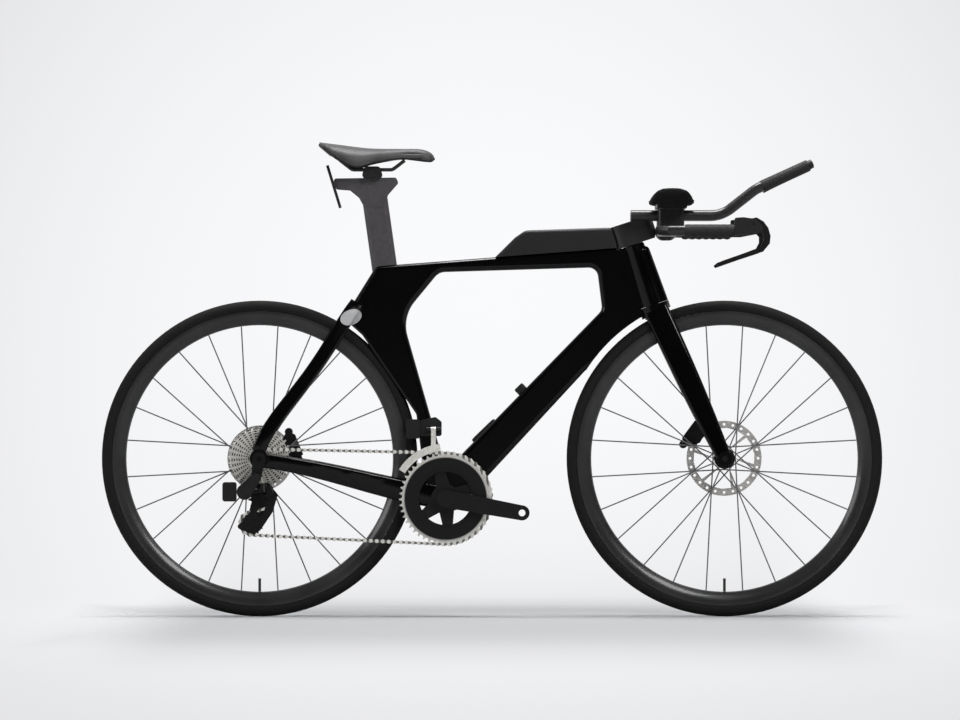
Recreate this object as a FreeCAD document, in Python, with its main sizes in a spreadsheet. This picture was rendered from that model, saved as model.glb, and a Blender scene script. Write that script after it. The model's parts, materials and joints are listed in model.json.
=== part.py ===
import FreeCAD, Part
import itertools
import math
import os
import re
from dataclasses import dataclass

import Sketcher

# Sizes in millimetres and degrees, one group for each assembly

GEOMETRY = {
    "chainstay_length": 405,
    "bottom_bracket_drop": 85,
    "frame_reach": 399,
    "frame_stack": 537,
    "head_angle": 72,
    "fork_offset": 45,
    "front_spacing": 100,
    "rear_spacing": 142,
    "fit_clearance": 0.05,
    "seat_gap": 0.3,
    "cut_overrun": 5,
    "tiny": 0.0001,
}

WHEELS = {
    "tyre_width": 28,
    "tyre_height": 22.5,
    "rim_outer_diameter": 627,
    "rim_depth": 30,
    "rim_width": 26,
    "valve_length": 28,
    "valve_diameter": 6,
    "spoke_width": 2.8,
    "spoke_thickness": 0.9,
    "spoke_spread": 1.6,
    "spoke_rim_spread": 4,
    "axle_diameter": 12,
    "axle_head_diameter": 18,
    "axle_head_length": 3,
    "bearing_diameter": 24,
    "bearing_lip": 1.5,
    "bearing_width": 6,
    "hub_cap_diameter": 19,
    "hub_boss_diameter": 34,
    "hub_boss_length": 9,
    "hub_waist_diameter": 29,
    "flange_diameter": 44,
    "flange_thickness": 3,
    "front_left_flange": 19,
    "front_right_flange": 31,
    "front_hub_right_end": 39,
    "rear_left_flange": 34,
    "rear_right_flange": 16,
    "front_rotor_offset": 35,
    "rear_rotor_offset": 57,
    "front_rotor_diameter": 160,
    "rear_rotor_diameter": 140,
    "rotor_thickness": 1.8,
    "rotor_band_width": 15,
    "rotor_collar_diameter": 46,
    "rotor_vent_diameter": 6,
    "rotor_arm_width": 7,
    "rotor_arm_sweep": 14,
}

DRIVETRAIN = {
    "chain_pitch": 12.7,
    "roller_diameter": 7.7,
    "chain_plate_height": 8.4,
    "chain_inner_half_width": 1.2,
    "chain_plate_thickness": 0.65,
    "chain_plate_gap": 0.05,
    "chain_lead_length": 40,
    "tooth_root_clearance": 0.4,
    "tooth_tip_rise": 2,
    "ring_tooth_thickness": 1.9,
    "cog_thickness": 1.5,
    "cog_spacing": 3.55,
    "first_cog_offset": 62,
    "cog_window_width": 8,
    "cassette_core_diameter": 30,
    "big_ring_offset": 47.5,
    "ring_spacing": 7,
    "big_ring_cover_diameter": 175,
    "big_ring_inner_diameter": 116,
    "big_ring_cover_rise": 3.6,
    "small_ring_inner_diameter": 112,
    "spider_tab_diameter": 134,
    "spider_arm_width": 22,
    "spider_hub_diameter": 62,
    "spindle_diameter": 29,
    "crank_length": 165,
    "crank_angle": -10.5,
    "crank_inner_offset": 57.5,
    "crank_thickness": 12.5,
    "crank_root_width": 38,
    "crank_tip_width": 32,
    "pedal_hole_diameter": 14.3,
    "shell_diameter": 54,
    "shell_width": 68,
    "shell_bore_diameter": 42,
    "cup_flange_width": 2.5,
    "cup_flange_diameter": 50,
    "guide_pulley_ahead": 2.7,
    "guide_pulley_drop": 84,
    "tension_pulley_behind": 16.5,
    "tension_pulley_drop": 137.5,
    "pulley_thickness": 2,
    "pulley_hub_diameter": 12,
    "pulley_bolt_diameter": 5,
}

BIG_RING_TEETH = 48
SMALL_RING_TEETH = 35
COG_TEETH = (10, 11, 12, 13, 14, 15, 17, 19, 21, 24, 28, 33)
PULLEY_TEETH = 12
SPOKE_GROUPS = 8
SPOKE_FAN_DEGREES = 14.6
SPOKE_LEAN_DEGREES = 85
ROTOR_ARMS = 6
ROTOR_VENTS = 24
SPIDER_ANGLES = (32, 113, 228, 285)
CORE_SIDES = 12
TOOTH_BASE_SHARE = 0.28
TOOTH_TIP_SHARE = 0.06
RIM_PROFILE_SHARES = ((1.0, 0.47), (0.68, 0.5), (0.32, 0.38), (0.07, 0.19))
LINK_END_SHARE = 0.3
LINK_WAIST_SHARE = 0.5
COG_WINDOW_SHARES = (0.62, 1.45)
ROLLER_SIDES = 6
CHORD_SEARCH_SHARE = 1.1
BISECTIONS = 40
SPIDER_ROOT_SHARE = 0.9

FRAME = {
    "frame_width": 38,
    "frame_edge_radius": 10,
    "wheel_clearance": 13,
    "wheel_slot_width": 36,
    "head_tube_top_diameter": 48,
    "head_tube_bottom_diameter": 54,
    "head_tube_length": 132,
    "upper_bearing_diameter": 41,
    "lower_bearing_diameter": 46,
    "headset_bearing_height": 8,
    "headset_cover_height": 2.5,
    "headset_cover_diameter": 46,
    "steerer_diameter": 28.6,
    "steerer_bore_diameter": 23,
    "steerer_clearance": 1.5,
    "crown_recess_radius": 31.5,
    "crown_height": 26,
    "stay_width": 15,
    "seatstay_depth": 31,
    "chainstay_depth": 46,
    "rear_dropout_thickness": 8,
    "rear_dropout_radius": 20,
    "hanger_thickness": 7,
    "hanger_drop": 41,
    "hanger_radius": 10,
    "hanger_ahead": -6,
    "hanger_bolt_diameter": 10,
    "fork_dropout_thickness": 11,
    "fork_dropout_radius": 15,
    "crown_width": 50,
    "crown_depth": 66,
    "crown_ahead": 3,
    "blade_depth": 53,
    "blade_width": 17,
    "steerer_height": 46,
}

SEAT = {
    "post_angle": 82,
    "post_depth": 54,
    "post_width": 20,
    "post_insertion": 110,
    "socket_depth": 135,
    "socket_clearance": 0.3,
    "wedge_length": 11,
    "wedge_width": 14,
    "wedge_height": 26,
    "wedge_sink": 14,
}

# Corners of the side view: ahead and up in shares of reach and stack, roundness in shares of reach
PANEL_SHARES = (
    (-0.372, 0.920, 0.05), (1.080, 1.002, 0.03), (1.222, 0.715, 0.03), (1.066, 0.680, 0.03),
    (0.743, 0.505, 0.03), (0.226, 0.089, 0.2), (0.060, -0.050, 0.05), (-0.110, -0.035, 0.05),
    (-0.170, 0.330, 0.03), (-0.455, 0.640, 0.03), (-0.552, 0.705, 0.03),
)
WINDOW_SHARES = (
    (-0.036, 0.896, 0.07), (0.806, 0.915, 0.05), (0.834, 0.747, 0.05), (0.0015, 0.112, 0.035),
    (-0.232, 0.719, 0.2),
)
# Stations of the stays: ahead, up, then shares of half the rear spacing, stay width and stay depth
SEATSTAY_SHARES = (
    (-0.470, 0.775, 0.18, 0.80, 1.0), (-0.536, 0.705, 0.34, 0.90, 1.0),
    (-0.790, 0.425, 0.80, 0.87, 0.95), (-0.966, 0.238, 1.03, 0.60, 0.98), (-0.998, 0.180, 1.03, 0.45, 0.95),
)
CHAINSTAY_SHARES = (
    (-0.020, 0.004, 0.370, 1.05, 1.06), (-0.308, 0.046, 0.42, 1.0, 1.0),
    (-0.724, 0.120, 0.87, 0.85, 0.76), (-0.965, 0.150, 1.04, 0.66, 0.66),
)
# Stations of a fork blade: along the blade, then shares of lateral offset, blade width and depth
BLADE_SHARES = ((0.03, 0.34, 0.95, 1.0), (0.20, 0.54, 1.0, 1.0), (0.74, 0.90, 0.9, 0.8), (0.98, 1.10, 0.66, 0.58))
TUBE_ROUND_SHARE = 0.85
CROWN_ROUND_SHARE = 0.95
POST_FOOT_SHARES = (-0.329, 0.929)
POST_ROUND_SHARE = 0.9
HANGER_ROOT_SHARE = 0.7

SADDLE = {
    "head_rise": 150,
    "head_length": 132,
    "head_height": 35,
    "head_width": 22,
    "clamp_length": 48,
    "clamp_width": 60,
    "clamp_bottom": 33,
    "clamp_height": 26,
    "clamp_ahead": -4,
    "rail_diameter": 7,
    "rail_spacing": 44,
    "rail_height": 52,
    "rail_length": 86,
    "rail_bend": 14,
    "rail_end_rise": 20,
    "rail_end_run": 26,
    "saddle_length": 245,
    "saddle_width": 136,
    "saddle_height": 58,
    "saddle_tail": 117,
    "saddle_shell_height": 7,
    "channel_width": 24,
    "channel_length": 170,
    "channel_depth": 9,
    "bracket_width": 34,
    "bracket_length": 95,
    "bracket_thickness": 6,
    "bracket_angle": 73,
    "bracket_radius": 9,
    "bracket_hole_diameter": 5.2,
    "bracket_hole_spacing": 62,
}

COCKPIT = {
    "box_width": 42,
    "box_edge_radius": 7,
    "box_front_radius": 39,
    "stem_rear": 37,
    "stem_front": 56,
    "stem_width": 46,
    "stem_height": 49,
    "bar_forward_offset": 69.6,
    "bar_height_offset": 30.7,
    "bar_chord": 46,
    "bar_thickness": 22,
    "bar_centre_thickness": 38,
    "bar_centre_width": 62,
    "bar_spacing": 400,
    "bar_bend": 36,
    "bar_tube_diameter": 22.2,
    "bar_plug_diameter": 14,
    "bar_plug_length": 14,
    "grip_inset_length": 1,
    "grip_length": 105,
    "grip_diameter": 27,
    "grip_collar": 4,
    "lever_housing_length": 60,
    "lever_housing_width": 24,
    "lever_housing_height": 34,
    "lever_width": 9,
    "lever_slot_clearance": 0.5,
    "lever_pivot_ahead": 40,
    "lever_pivot_up": 14,
    "lever_pin_diameter": 5,
    "lever_length": 110,
    "lever_drop": 90,
    "extension_diameter": 22.2,
    "extension_spacing": 120,
    "extension_height_offset": 34,
    "extension_rear_length": 75,
    "extension_front_length": 118.6,
    "knee_forward_offset": 71.4,
    "knee_height_offset": 55.7,
    "tip_forward_offset": 112,
    "tip_height_offset": 50.8,
    "extension_bend_radius": 70,
    "extension_sleeve_length": 108,
    "extension_sleeve_wall": 1.4,
    "button_diameter": 19,
    "button_length": 7,
    "button_travel": 1.2,
    "button_stem_diameter": 8,
    "button_stem_length": 9,
    "riser_length": 57,
    "riser_width": 34,
    "riser_cap_thickness": 2.7,
    "cup_length": 64,
    "cup_width": 78,
    "cup_height": 9,
    "cup_spacing": 172,
    "pad_length": 98,
    "pad_width": 84,
    "pad_height": 35,
}

BRAKES = {
    "caliper_half_width": 15,
    "caliper_inner_half_width": 10.5,
    "caliper_post_diameter": 11,
    "caliper_post_length": 15,
    "caliper_slot_half_width": 5.7,
    "caliper_length": 52,
    "caliper_height": 34,
    "pad_thickness": 4,
    "pad_air_gap": 0.4,
    "pad_side": 22,
    "caliper_rise_height": 8,
    "caliper_fitting_diameter": 17,
    "front_caliper_angle": 140,
    "rear_caliper_angle": 19,
    "caliper_stand_off": 2,
}

DERAILLEURS = {
    "cage_gap": 8.4,
    "cage_plate_thickness": 1.5,
    "cage_pivot_ahead": 17.5,
    "cage_pivot_drop": 69.5,
    "cage_pivot_diameter": 10,
    "knuckle_slant": 25,
    "shift_link_length": 42,
    "shift_link_lean": -20,
    "shift_link_width": 13,
    "shift_link_plate": 3,
    "shift_lug_height": 15,
    "shift_lug_diameter": 15,
    "shift_pin_diameter": 5,
    "link_room": 0.6,
    "cage_pivot_length": 18,
    "front_arm_width": 10,
    "front_arm_depth": 9,
    "knuckle_radius": 17,
    "knuckle_depth": 13,
    "body_pivot_behind": 24,
    "body_pivot_drop": 29,
    "battery_length": 41,
    "battery_height": 30,
    "battery_width": 24,
    "front_cage_inner_radius": 101.8,
    "front_cage_outer_radius": 117,
    "front_cage_start": 96,
    "front_cage_end": 148,
    "front_cage_inner_gap": 6,
    "front_cage_outer_gap": 5,
    "front_cage_thickness": 1.2,
    "front_pivot_rise": 148,
    "front_pivot_behind": 26,
    "front_pivot_offset": 44,
    "front_pivot_diameter": 6,
    "front_body_length": 46,
    "front_body_height": 34,
    "front_body_outer": 36,
}

# Seat post head: ahead in shares of its length and up in shares of its height
POST_HEAD_SHARES = (
    (-0.665, 0.954), (0.352, 1.014), (0.392, 0.680), (0.223, -0.050), (0.160, -0.800), (-0.160, -0.800),
    (-0.245, -0.226), (-0.390, 0.223), (-0.612, 0.283),
)
POST_HEAD_ROUND_SHARE = 0.16
# Saddle stations: along its length, then half width, top and bottom in shares of width and height
SADDLE_SHARES = (
    (0.00, 0.16, 1.00, 0.84), (0.09, 0.47, 0.97, 0.52), (0.26, 0.50, 0.86, 0.26), (0.44, 0.40, 0.78, 0.26),
    (0.70, 0.23, 0.78, 0.37), (0.88, 0.20, 0.76, 0.37), (0.97, 0.15, 0.62, 0.34),
)
SADDLE_SIDE_SHARES = (0.92, 0.35, 0.72, 0.86)
# Storage box: ahead and up in shares of reach and stack, roundness in shares of reach
BOX_SHARES = ((0.370, 1.034, 0.02), (0.425, 1.062, 0.05), (0.900, 1.074, 0.02))
BOX_REAR_SHARE = 0.264
# Brake lever housing: ahead in shares of its length and up in shares of its height
HOUSING_SHARES = ((0.0, -0.12, 0.05), (0.0, 0.96, 0.1), (0.30, 1.0, 0.2), (0.72, 0.90, 0.2), (1.0, 0.45, 0.1),
                  (1.0, 0.10, 0.05), (0.36, -0.12, 0.1))
# Brake lever blade: ahead in shares of its length and up in shares of its drop, about its pivot
LEVER_SHARES = (
    (-0.08, 0.12), (0.057, 0.155), (0.19, 0.06), (0.28, -0.09), (0.325, -0.28), (0.31, -0.46), (0.18, -0.65),
    (-0.22, -0.81),
    (-0.66, -1.00), (-0.70, -0.95), (-0.62, -0.87), (-0.22, -0.70), (0.13, -0.54), (0.19, -0.40),
    (0.19, -0.26), (0.08, -0.12), (-0.08, -0.10),
)
LEVER_ROUND_SHARE = 0.02
# Arm pad stations across: offset in shares of width, then length and height shares
PAD_SHARES = ((-0.5, 0.86, 0.80), (-0.28, 0.98, 0.68), (0.0, 1.0, 0.56), (0.28, 0.98, 0.70), (0.5, 0.88, 1.0))
# Derailleur cage plate: points in shares of the distance between the pulleys, about the guide pulley
CAGE_SHARES = (
    (0.26, 0.62), (0.66, 0.14), (0.46, -0.52), (0.0, -1.20), (-0.24, -1.36), (-0.95, -1.08), (-0.58, -0.80),
    (-0.36, -0.46), (-0.22, 0.18),
)
CAGE_ROUND_SHARE = 0.1
INNER_CAGE_SHARES = (
    (-0.22, 0.26), (0.20, 0.26), (0.32, -0.10), (0.10, -1.05), (-0.28, -1.30), (-0.62, -1.12), (-0.40, -0.40),
)
CALIPER_SHARES = ((-0.5, -0.62), (-0.44, 0.34), (0.46, 0.26), (0.62, -0.02), (0.60, -0.36), (0.15, -0.80))
CALIPER_FITTING_SHARES = (0.64, -0.06)
CALIPER_ROUND_SHARE = 0.08
CALIPER_POST_SHARES = ((-0.30, 0.05), (-0.30, -0.42))
BRAKE_PAD_SHARES = (0.80, 0.3)
CLAMP_INSET_SHARE = 0.3
SHELL_FOOT_SHARE = 0.8
CHANNEL_ROUND_SHARE = 0.95
BRACKET_RAISE_SHARE = -0.18
BOX_NOSE_SHARE = 0.02
STEM_ROUND_SHARE = 0.9
BAR_TAPER_SHARE = 0.85
BAR_BEND_SHARE = 0.3
BAR_KNEE_SHARE = 1.3
BAR_ROUND_SHARE = 0.9
GRIP_RIBS = 6
HOUSING_BELOW_SHARE = 0.168
SLOT_BACK_SHARE = 0.12
PAD_AHEAD_SHARE = 0.12
RISER_AHEAD_SHARE = 0.21
RISER_ROUND_SHARE = 0.5
CUP_ROUND_SHARE = 0.6
LINK_ROOM_SHARES = (0.95, 0.45)
LINK_ROUND_SHARE = 0.98
BARREL_SHARE = 0.8
CAGE_WINDOW_SHARES = ((0.06, -0.28), (0.22, -0.30), (0.06, -0.62), (-0.22, -0.80), (-0.26, -0.66))
FRONT_BRIDGE_SHARE = 0.28
FRONT_BODY_SHARES = ((-0.62, -0.45), (-0.62, 0.55), (0.10, 0.75), (0.38, 0.45), (0.38, -0.45))
FRONT_BODY_ROUND_SHARE = 0.15
BATTERY_ROUND_SHARE = 0.35

SIZE_GROUPS = (GEOMETRY, WHEELS, DRIVETRAIN, FRAME, SEAT, SADDLE, COCKPIT, BRAKES, DERAILLEURS)

ALIASES = {alias for group in SIZE_GROUPS for alias in group}
CIRCLE_DEGREES = 360
X_AXIS = FreeCAD.Vector(1, 0, 0)
Y_AXIS = FreeCAD.Vector(0, 1, 0)
Z_AXIS = FreeCAD.Vector(0, 0, 1)
ORIGIN = FreeCAD.Vector(0, 0, 0)
LEFT = 1
RIGHT = -1

doc = FreeCAD.newDocument("TimeTrialBike")
sheet = doc.addObject("Spreadsheet::Sheet", "Sizes")
nodes = []


class Sizes:
    """Reads a size from the sheet by its alias."""

    def __getattr__(self, alias):
        return float(sheet.get(alias))


s = Sizes()


def fill_sheet():
    """Writes every driving size to the sheet, one row each."""
    row = 0
    for group in SIZE_GROUPS:
        for alias, value in group.items():
            row += 1
            sheet.set(f"A{row}", alias)
            sheet.set(f"B{row}", str(value))
            sheet.setAlias(f"B{row}", alias)
    doc.recompute()


def bound(expression):
    """The same expression with each size named as a cell of the sheet."""
    return re.sub(r"[a-z][a-z_]*", lambda word: f"Sizes.{word[0]}" if word[0] in ALIASES else word[0],
                  expression)


def value_of(expression):
    """The number that an expression of sizes gives now."""
    return float(sheet.evalExpression(bound(expression)))


def vec(x, y, z):
    return FreeCAD.Vector(x, y, z)


def as_node(obj, label):
    """Gives a finished piece its name and puts it on the list of sub-parts."""
    obj.Label = label
    nodes.append(obj)
    return obj


def place(obj, base, local_z=None):
    """Moves a piece to its base, with its own Z axis turned to the given direction."""
    turn = FreeCAD.Rotation(Z_AXIS, local_z) if local_z else FreeCAD.Rotation()
    obj.Placement = FreeCAD.Placement(base, turn)
    return obj


def primitive(kind, name, **expressions):
    """A Part primitive or boolean whose sizes are bound to the sheet."""
    obj = doc.addObject(f"Part::{kind}", name)
    for prop, expression in expressions.items():
        obj.setExpression(prop, bound(expression))
    return obj


def cut_from(name, base, tool):
    """The base piece less the tool, as a boolean of the document."""
    obj = doc.addObject("Part::Cut", name)
    obj.Base = base
    obj.Tool = tool
    return obj


def grouped(name, pieces):
    """Several separate solids in one piece."""
    obj = doc.addObject("Part::Compound", name)
    obj.Links = pieces
    return obj


def mirrored(name, piece):
    """The same piece on the other side of the bicycle's middle plane."""
    obj = doc.addObject("Part::Mirroring", name)
    obj.Source = piece
    obj.Normal = Y_AXIS
    return obj


def pair(label, piece):
    """A left and a right solid in one sub-part."""
    return as_node(grouped(label, [piece, mirrored(f"{label}_other_side", piece)]), label)


def feature(name, shape):
    """A piece whose shape is made by the functions below."""
    obj = doc.addObject("Part::Feature", name)
    obj.Shape = shape
    return obj


def origin_plane(body, role):
    return next(item for item in body.Origin.OriginFeatures if item.Role == role)


def corner_constraints(sketch, line, corner):
    """Binds one corner of an outline to its two expressions."""
    for kind, axis, expression in zip(("DistanceX", "DistanceY"), (-2, -1), corner):
        value = value_of(expression)
        if abs(value) < s.tiny:
            sketch.addConstraint(Sketcher.Constraint("PointOnObject", line, 1, axis))
            continue
        index = sketch.addConstraint(Sketcher.Constraint(kind, -1, 1, line, 1, value))
        sketch.setExpression(f"Constraints[{index}]", bound(expression))


def outline_sketch(body, name, role, corners):
    """A closed outline of straight lines through corners given as pairs of expressions."""
    sketch = body.newObject("Sketcher::SketchObject", name)
    sketch.AttachmentSupport = [(origin_plane(body, role), "")]
    sketch.MapMode = "FlatFace"
    points = [vec(value_of(x), value_of(y), 0) for x, y in corners]
    count = len(points)
    for index in range(count):
        sketch.addGeometry(Part.LineSegment(points[index], points[(index + 1) % count]), False)
    for index in range(count):
        sketch.addConstraint(Sketcher.Constraint("Coincident", index, 2, (index + 1) % count, 1))
    for index, corner in enumerate(corners):
        corner_constraints(sketch, index, corner)
    return sketch


def circle_sketch(body, name, radii, centre=None):
    """Circles about one centre, each radius bound to an expression."""
    sketch = body.newObject("Sketcher::SketchObject", name)
    sketch.AttachmentSupport = [(origin_plane(body, "XY_Plane"), "")]
    sketch.MapMode = "FlatFace"
    for index, radius in enumerate(radii):
        middle = vec(value_of(centre), 0, 0) if centre else ORIGIN
        sketch.addGeometry(Part.Circle(middle, Z_AXIS, value_of(radius)), False)
        fixed = sketch.addConstraint(Sketcher.Constraint("Radius", index, value_of(radius)))
        sketch.setExpression(f"Constraints[{fixed}]", bound(radius))
        sketch.addConstraint(Sketcher.Constraint("PointOnObject", index, 3, -1))
        if centre:
            along = sketch.addConstraint(Sketcher.Constraint("DistanceX", -1, 1, index, 3, value_of(centre)))
            sketch.setExpression(f"Constraints[{along}]", bound(centre))
        else:
            sketch.addConstraint(Sketcher.Constraint("PointOnObject", index, 3, -2))
    return sketch


def new_body(name):
    return doc.addObject("PartDesign::Body", name)


def turned(name, profile):
    """A turned piece: corners given as radius and height, revolved about its own Z axis."""
    body = new_body(name)
    sketch = outline_sketch(body, f"{name}_profile", "XZ_Plane", profile)
    revolution = body.newObject("PartDesign::Revolution", f"{name}_revolution")
    revolution.Profile = sketch
    revolution.ReferenceAxis = (sketch, ["V_Axis"])
    revolution.Angle = CIRCLE_DEGREES
    return body


def turned_across(name, profile, base):
    """A turned piece on an axle that lies across the bicycle, heights counted to the left."""
    return place(turned(name, profile), base, Y_AXIS)


def pad(body, sketch, length):
    """A pad of a sketch, with its length bound to an expression, half to each side."""
    obj = body.newObject("PartDesign::Pad", f"{sketch.Name}_pad")
    obj.Profile = sketch
    obj.setExpression("Length", bound(length))
    obj.Midplane = True
    return obj


def pocket_through(body, sketch):
    """A cut right through the body, both ways from the sketch."""
    obj = body.newObject("PartDesign::Pocket", f"{sketch.Name}_pocket")
    obj.Profile = sketch
    obj.Type = "ThroughAll"
    obj.Midplane = True
    return obj


def polar_pattern(body, original, sketch, count):
    """Copies of a feature spread evenly about the sketch's normal."""
    obj = body.newObject("PartDesign::PolarPattern", f"{original.Name}_pattern")
    obj.Originals = [original]
    obj.Axis = (sketch, ["N_Axis"])
    obj.Angle = CIRCLE_DEGREES
    obj.Occurrences = count
    body.Tip = obj
    return obj


def straight_wire(points):
    """A closed wire of straight lines."""
    return Part.makePolygon([*points, points[0]])


def rounded_corner(before, corner, after, radius):
    """The start, middle and end of the arc that rounds one corner."""
    back = (before - corner).normalize()
    ahead = (after - corner).normalize()
    half_angle = back.getAngle(ahead) / 2
    reach = radius / math.tan(half_angle)
    middle = (back + ahead).normalize() * (radius / math.sin(half_angle) - radius)
    return corner + back * reach, corner + middle, corner + ahead * reach


def rounded_edges(corners, closed):
    """Lines joined by tangent arcs, through corners given as a point and a radius."""
    count = len(corners)
    edges = []
    last = None
    first = None
    for index, (point, radius) in enumerate(corners):
        is_end = not closed and index in (0, count - 1)
        if is_end or radius == 0:
            start = end = point
            arc = None
        else:
            before = corners[index - 1][0]
            after = corners[(index + 1) % count][0]
            start, middle, end = rounded_corner(before, point, after, radius)
            arc = Part.Arc(start, middle, end).toShape()
        if last is not None and last.distanceToPoint(start) > s.tiny:
            edges.append(Part.LineSegment(last, start).toShape())
        if arc:
            edges.append(arc)
        first = first or start
        last = end
    if closed and last.distanceToPoint(first) > s.tiny:
        edges.append(Part.LineSegment(last, first).toShape())
    return edges


def rounded_outline(corners):
    """A closed wire whose corners are rounded by arcs."""
    return Part.Wire(rounded_edges(corners, True))


def rounded_path(corners):
    """An open path whose corners are rounded by arcs."""
    return Part.Wire(rounded_edges(corners, False))


def slab(wire, low, high):
    """A flat outline in the side view, thickened across the bicycle from low to high."""
    moved = wire.copy()
    moved.translate(vec(0, low, 0))
    return Part.Face(moved).extrude(vec(0, high - low, 0))


def section(centre, across, along, width, depth, roundness):
    """A rounded rectangle: roundness is the share of its shorter half side that the corners take."""
    aside = across * (width / 2)
    ahead = along * (depth / 2)
    radius = roundness * min(width, depth) / 2
    corners = (centre + aside + ahead, centre - aside + ahead, centre - aside - ahead, centre + aside - ahead)
    return rounded_outline([(corner, radius) for corner in corners])


def loft(wires, ruled=False):
    return Part.makeLoft(wires, True, ruled)


def rod(start, end, radius):
    """A round bar between two points."""
    return Part.makeCylinder(radius, start.distanceToPoint(end), start, end - start)


def tube_along(path, radius):
    """A round bar swept along a path of lines and arcs."""
    first = path.OrderedEdges[0]
    start = first.valueAt(first.FirstParameter)
    heading = first.tangentAt(first.FirstParameter)
    ring = Part.Wire(Part.makeCircle(radius, start, heading))
    return path.makePipeShell([ring], True, False)


def fuse_all(shapes):
    """One solid of several, with the seams between flush faces taken out."""
    return shapes[0].multiFuse(shapes[1:]).removeSplitter()


def wheel_radius():
    """The radius of a wheel with its tyre."""
    return s.rim_outer_diameter / 2 + s.tyre_height


class Layout:
    """The main points of the bicycle, worked out from its geometry."""

    def __init__(self):
        head = math.radians(s.head_angle)
        self.steer_up = vec(-math.cos(head), 0, math.sin(head))
        self.steer_ahead = vec(math.sin(head), 0, math.cos(head))
        chainstay_run = math.sqrt(s.chainstay_length ** 2 - s.bottom_bracket_drop ** 2)
        head_run = (s.frame_stack - s.bottom_bracket_drop) / math.tan(head)
        front_centre = s.frame_reach + head_run + s.fork_offset / math.sin(head)
        wheelbase = chainstay_run + front_centre
        axle_height = wheel_radius()
        self.rear_axle = vec(-wheelbase / 2, 0, axle_height)
        self.front_axle = vec(wheelbase / 2, 0, axle_height)
        self.crank = vec(chainstay_run - wheelbase / 2, 0, axle_height - s.bottom_bracket_drop)
        self.head_top = self.crank + vec(s.frame_reach, 0, s.frame_stack)

    def steer(self, up, ahead=0, left=0):
        """A point counted along the steering axis from the top of the head tube."""
        return self.head_top + self.steer_up * up + self.steer_ahead * ahead + Y_AXIS * left

    def frame_point(self, ahead_share, up_share):
        """A point of the frame's side view in shares of reach and stack from the crank axle."""
        return self.crank + vec(ahead_share * s.frame_reach, 0, up_share * s.frame_stack)


def polar(centre, radius, degrees):
    """A point of the side view at an angle counted from straight ahead, up being positive."""
    turn = math.radians(degrees)
    return centre + vec(radius * math.cos(turn), 0, radius * math.sin(turn))


def make_tyre(name, axle):
    """A round tyre, flat inside where it sits on the rim."""
    casing = primitive("Torus", f"{name}_casing", Radius1="rim_outer_diameter/2 + tyre_height - tyre_width/2",
                       Radius2="tyre_width/2")
    seat = primitive("Cylinder", f"{name}_seat", Radius="rim_outer_diameter/2", Height="tyre_width*2")
    seat.setExpression("Placement.Base.z", bound("-tyre_width"))
    return as_node(place(cut_from(name, casing, seat), axle, Y_AXIS), name)


def make_rim(name, axle):
    """A rim with a rounded inner edge, and the valve that stands out of it at the lowest point."""
    outer = "rim_outer_diameter/2 - rim_depth"
    half = [(f"{outer} + rim_depth*{depth}", f"rim_width*{width}") for depth, width in RIM_PROFILE_SHARES]
    other_half = [(radius, f"-{across}") for radius, across in reversed(half)]
    ring = turned_across(f"{name}_ring", [*half, (outer, "0"), *other_half], axle)
    valve = primitive("Cylinder", f"{name}_valve", Radius="valve_diameter/2", Height="valve_length")
    inner_edge = s.rim_outer_diameter / 2 - s.rim_depth
    place(valve, axle - vec(0, 0, inner_edge - s.seat_gap), Z_AXIS)
    return as_node(grouped(name, [ring, valve]), name)


def flat_bar(start, end, across, width, thickness):
    """A flat blade between two points, with its thickness about along the given direction."""
    heading = (end - start).normalize()
    side = heading.cross(across).normalize()
    face_way = side.cross(heading).normalize()
    corners = []
    for aside, through in ((1, 1), (1, -1), (-1, -1), (-1, 1)):
        corners.append(start + side * (aside * width / 2) + face_way * (through * thickness / 2))
    return Part.Face(straight_wire(corners)).extrude(end - start)


def make_spokes(name, axle, flanges, double_side):
    """Flat spokes in groups of three: two that cross on one side, and a straight one on the other."""
    hub_radius = (s.flange_diameter + s.spoke_width) / 2 + s.seat_gap
    rim_radius = s.rim_outer_diameter / 2 - s.rim_depth - s.seat_gap
    step = CIRCLE_DEGREES / SPOKE_GROUPS
    blades = []
    for group, fan in itertools.product(range(SPOKE_GROUPS), (-1, 0, 1)):
        side = double_side if fan else -double_side
        rim_angle = step * (group + 1 / 2) + fan * SPOKE_FAN_DEGREES
        start = polar(axle, hub_radius, rim_angle - fan * SPOKE_LEAN_DEGREES)
        start += Y_AXIS * (side * flanges[side] + fan * s.spoke_spread / 2)
        end = polar(axle, rim_radius, rim_angle) + Y_AXIS * (side * s.spoke_rim_spread / 2)
        blades.append(flat_bar(start, end, Y_AXIS, s.spoke_width, s.spoke_thickness))
    return as_node(feature(name, Part.makeCompound(blades)), name)


def flange_corners(offset):
    """The profile of one spoke flange, from its left face to its right face."""
    return [
        ("hub_waist_diameter/2", f"{offset} + flange_thickness/2"),
        ("flange_diameter/2", f"{offset} + flange_thickness/2"),
        ("flange_diameter/2", f"{offset} - flange_thickness/2"),
        ("hub_waist_diameter/2", f"{offset} - flange_thickness/2"),
    ]


def bearing_and_cap(name, seat, face, end, axle):
    """A bearing ring in its seat, with the end cap that reaches to the dropout."""
    bore = "axle_diameter/2 + fit_clearance"
    outer = "bearing_diameter/2 - fit_clearance"
    cap = "hub_cap_diameter/2"
    profile = [(bore, seat), (outer, seat), (outer, face), (cap, face), (cap, end), (bore, end)]
    return turned_across(name, profile, axle)


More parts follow.
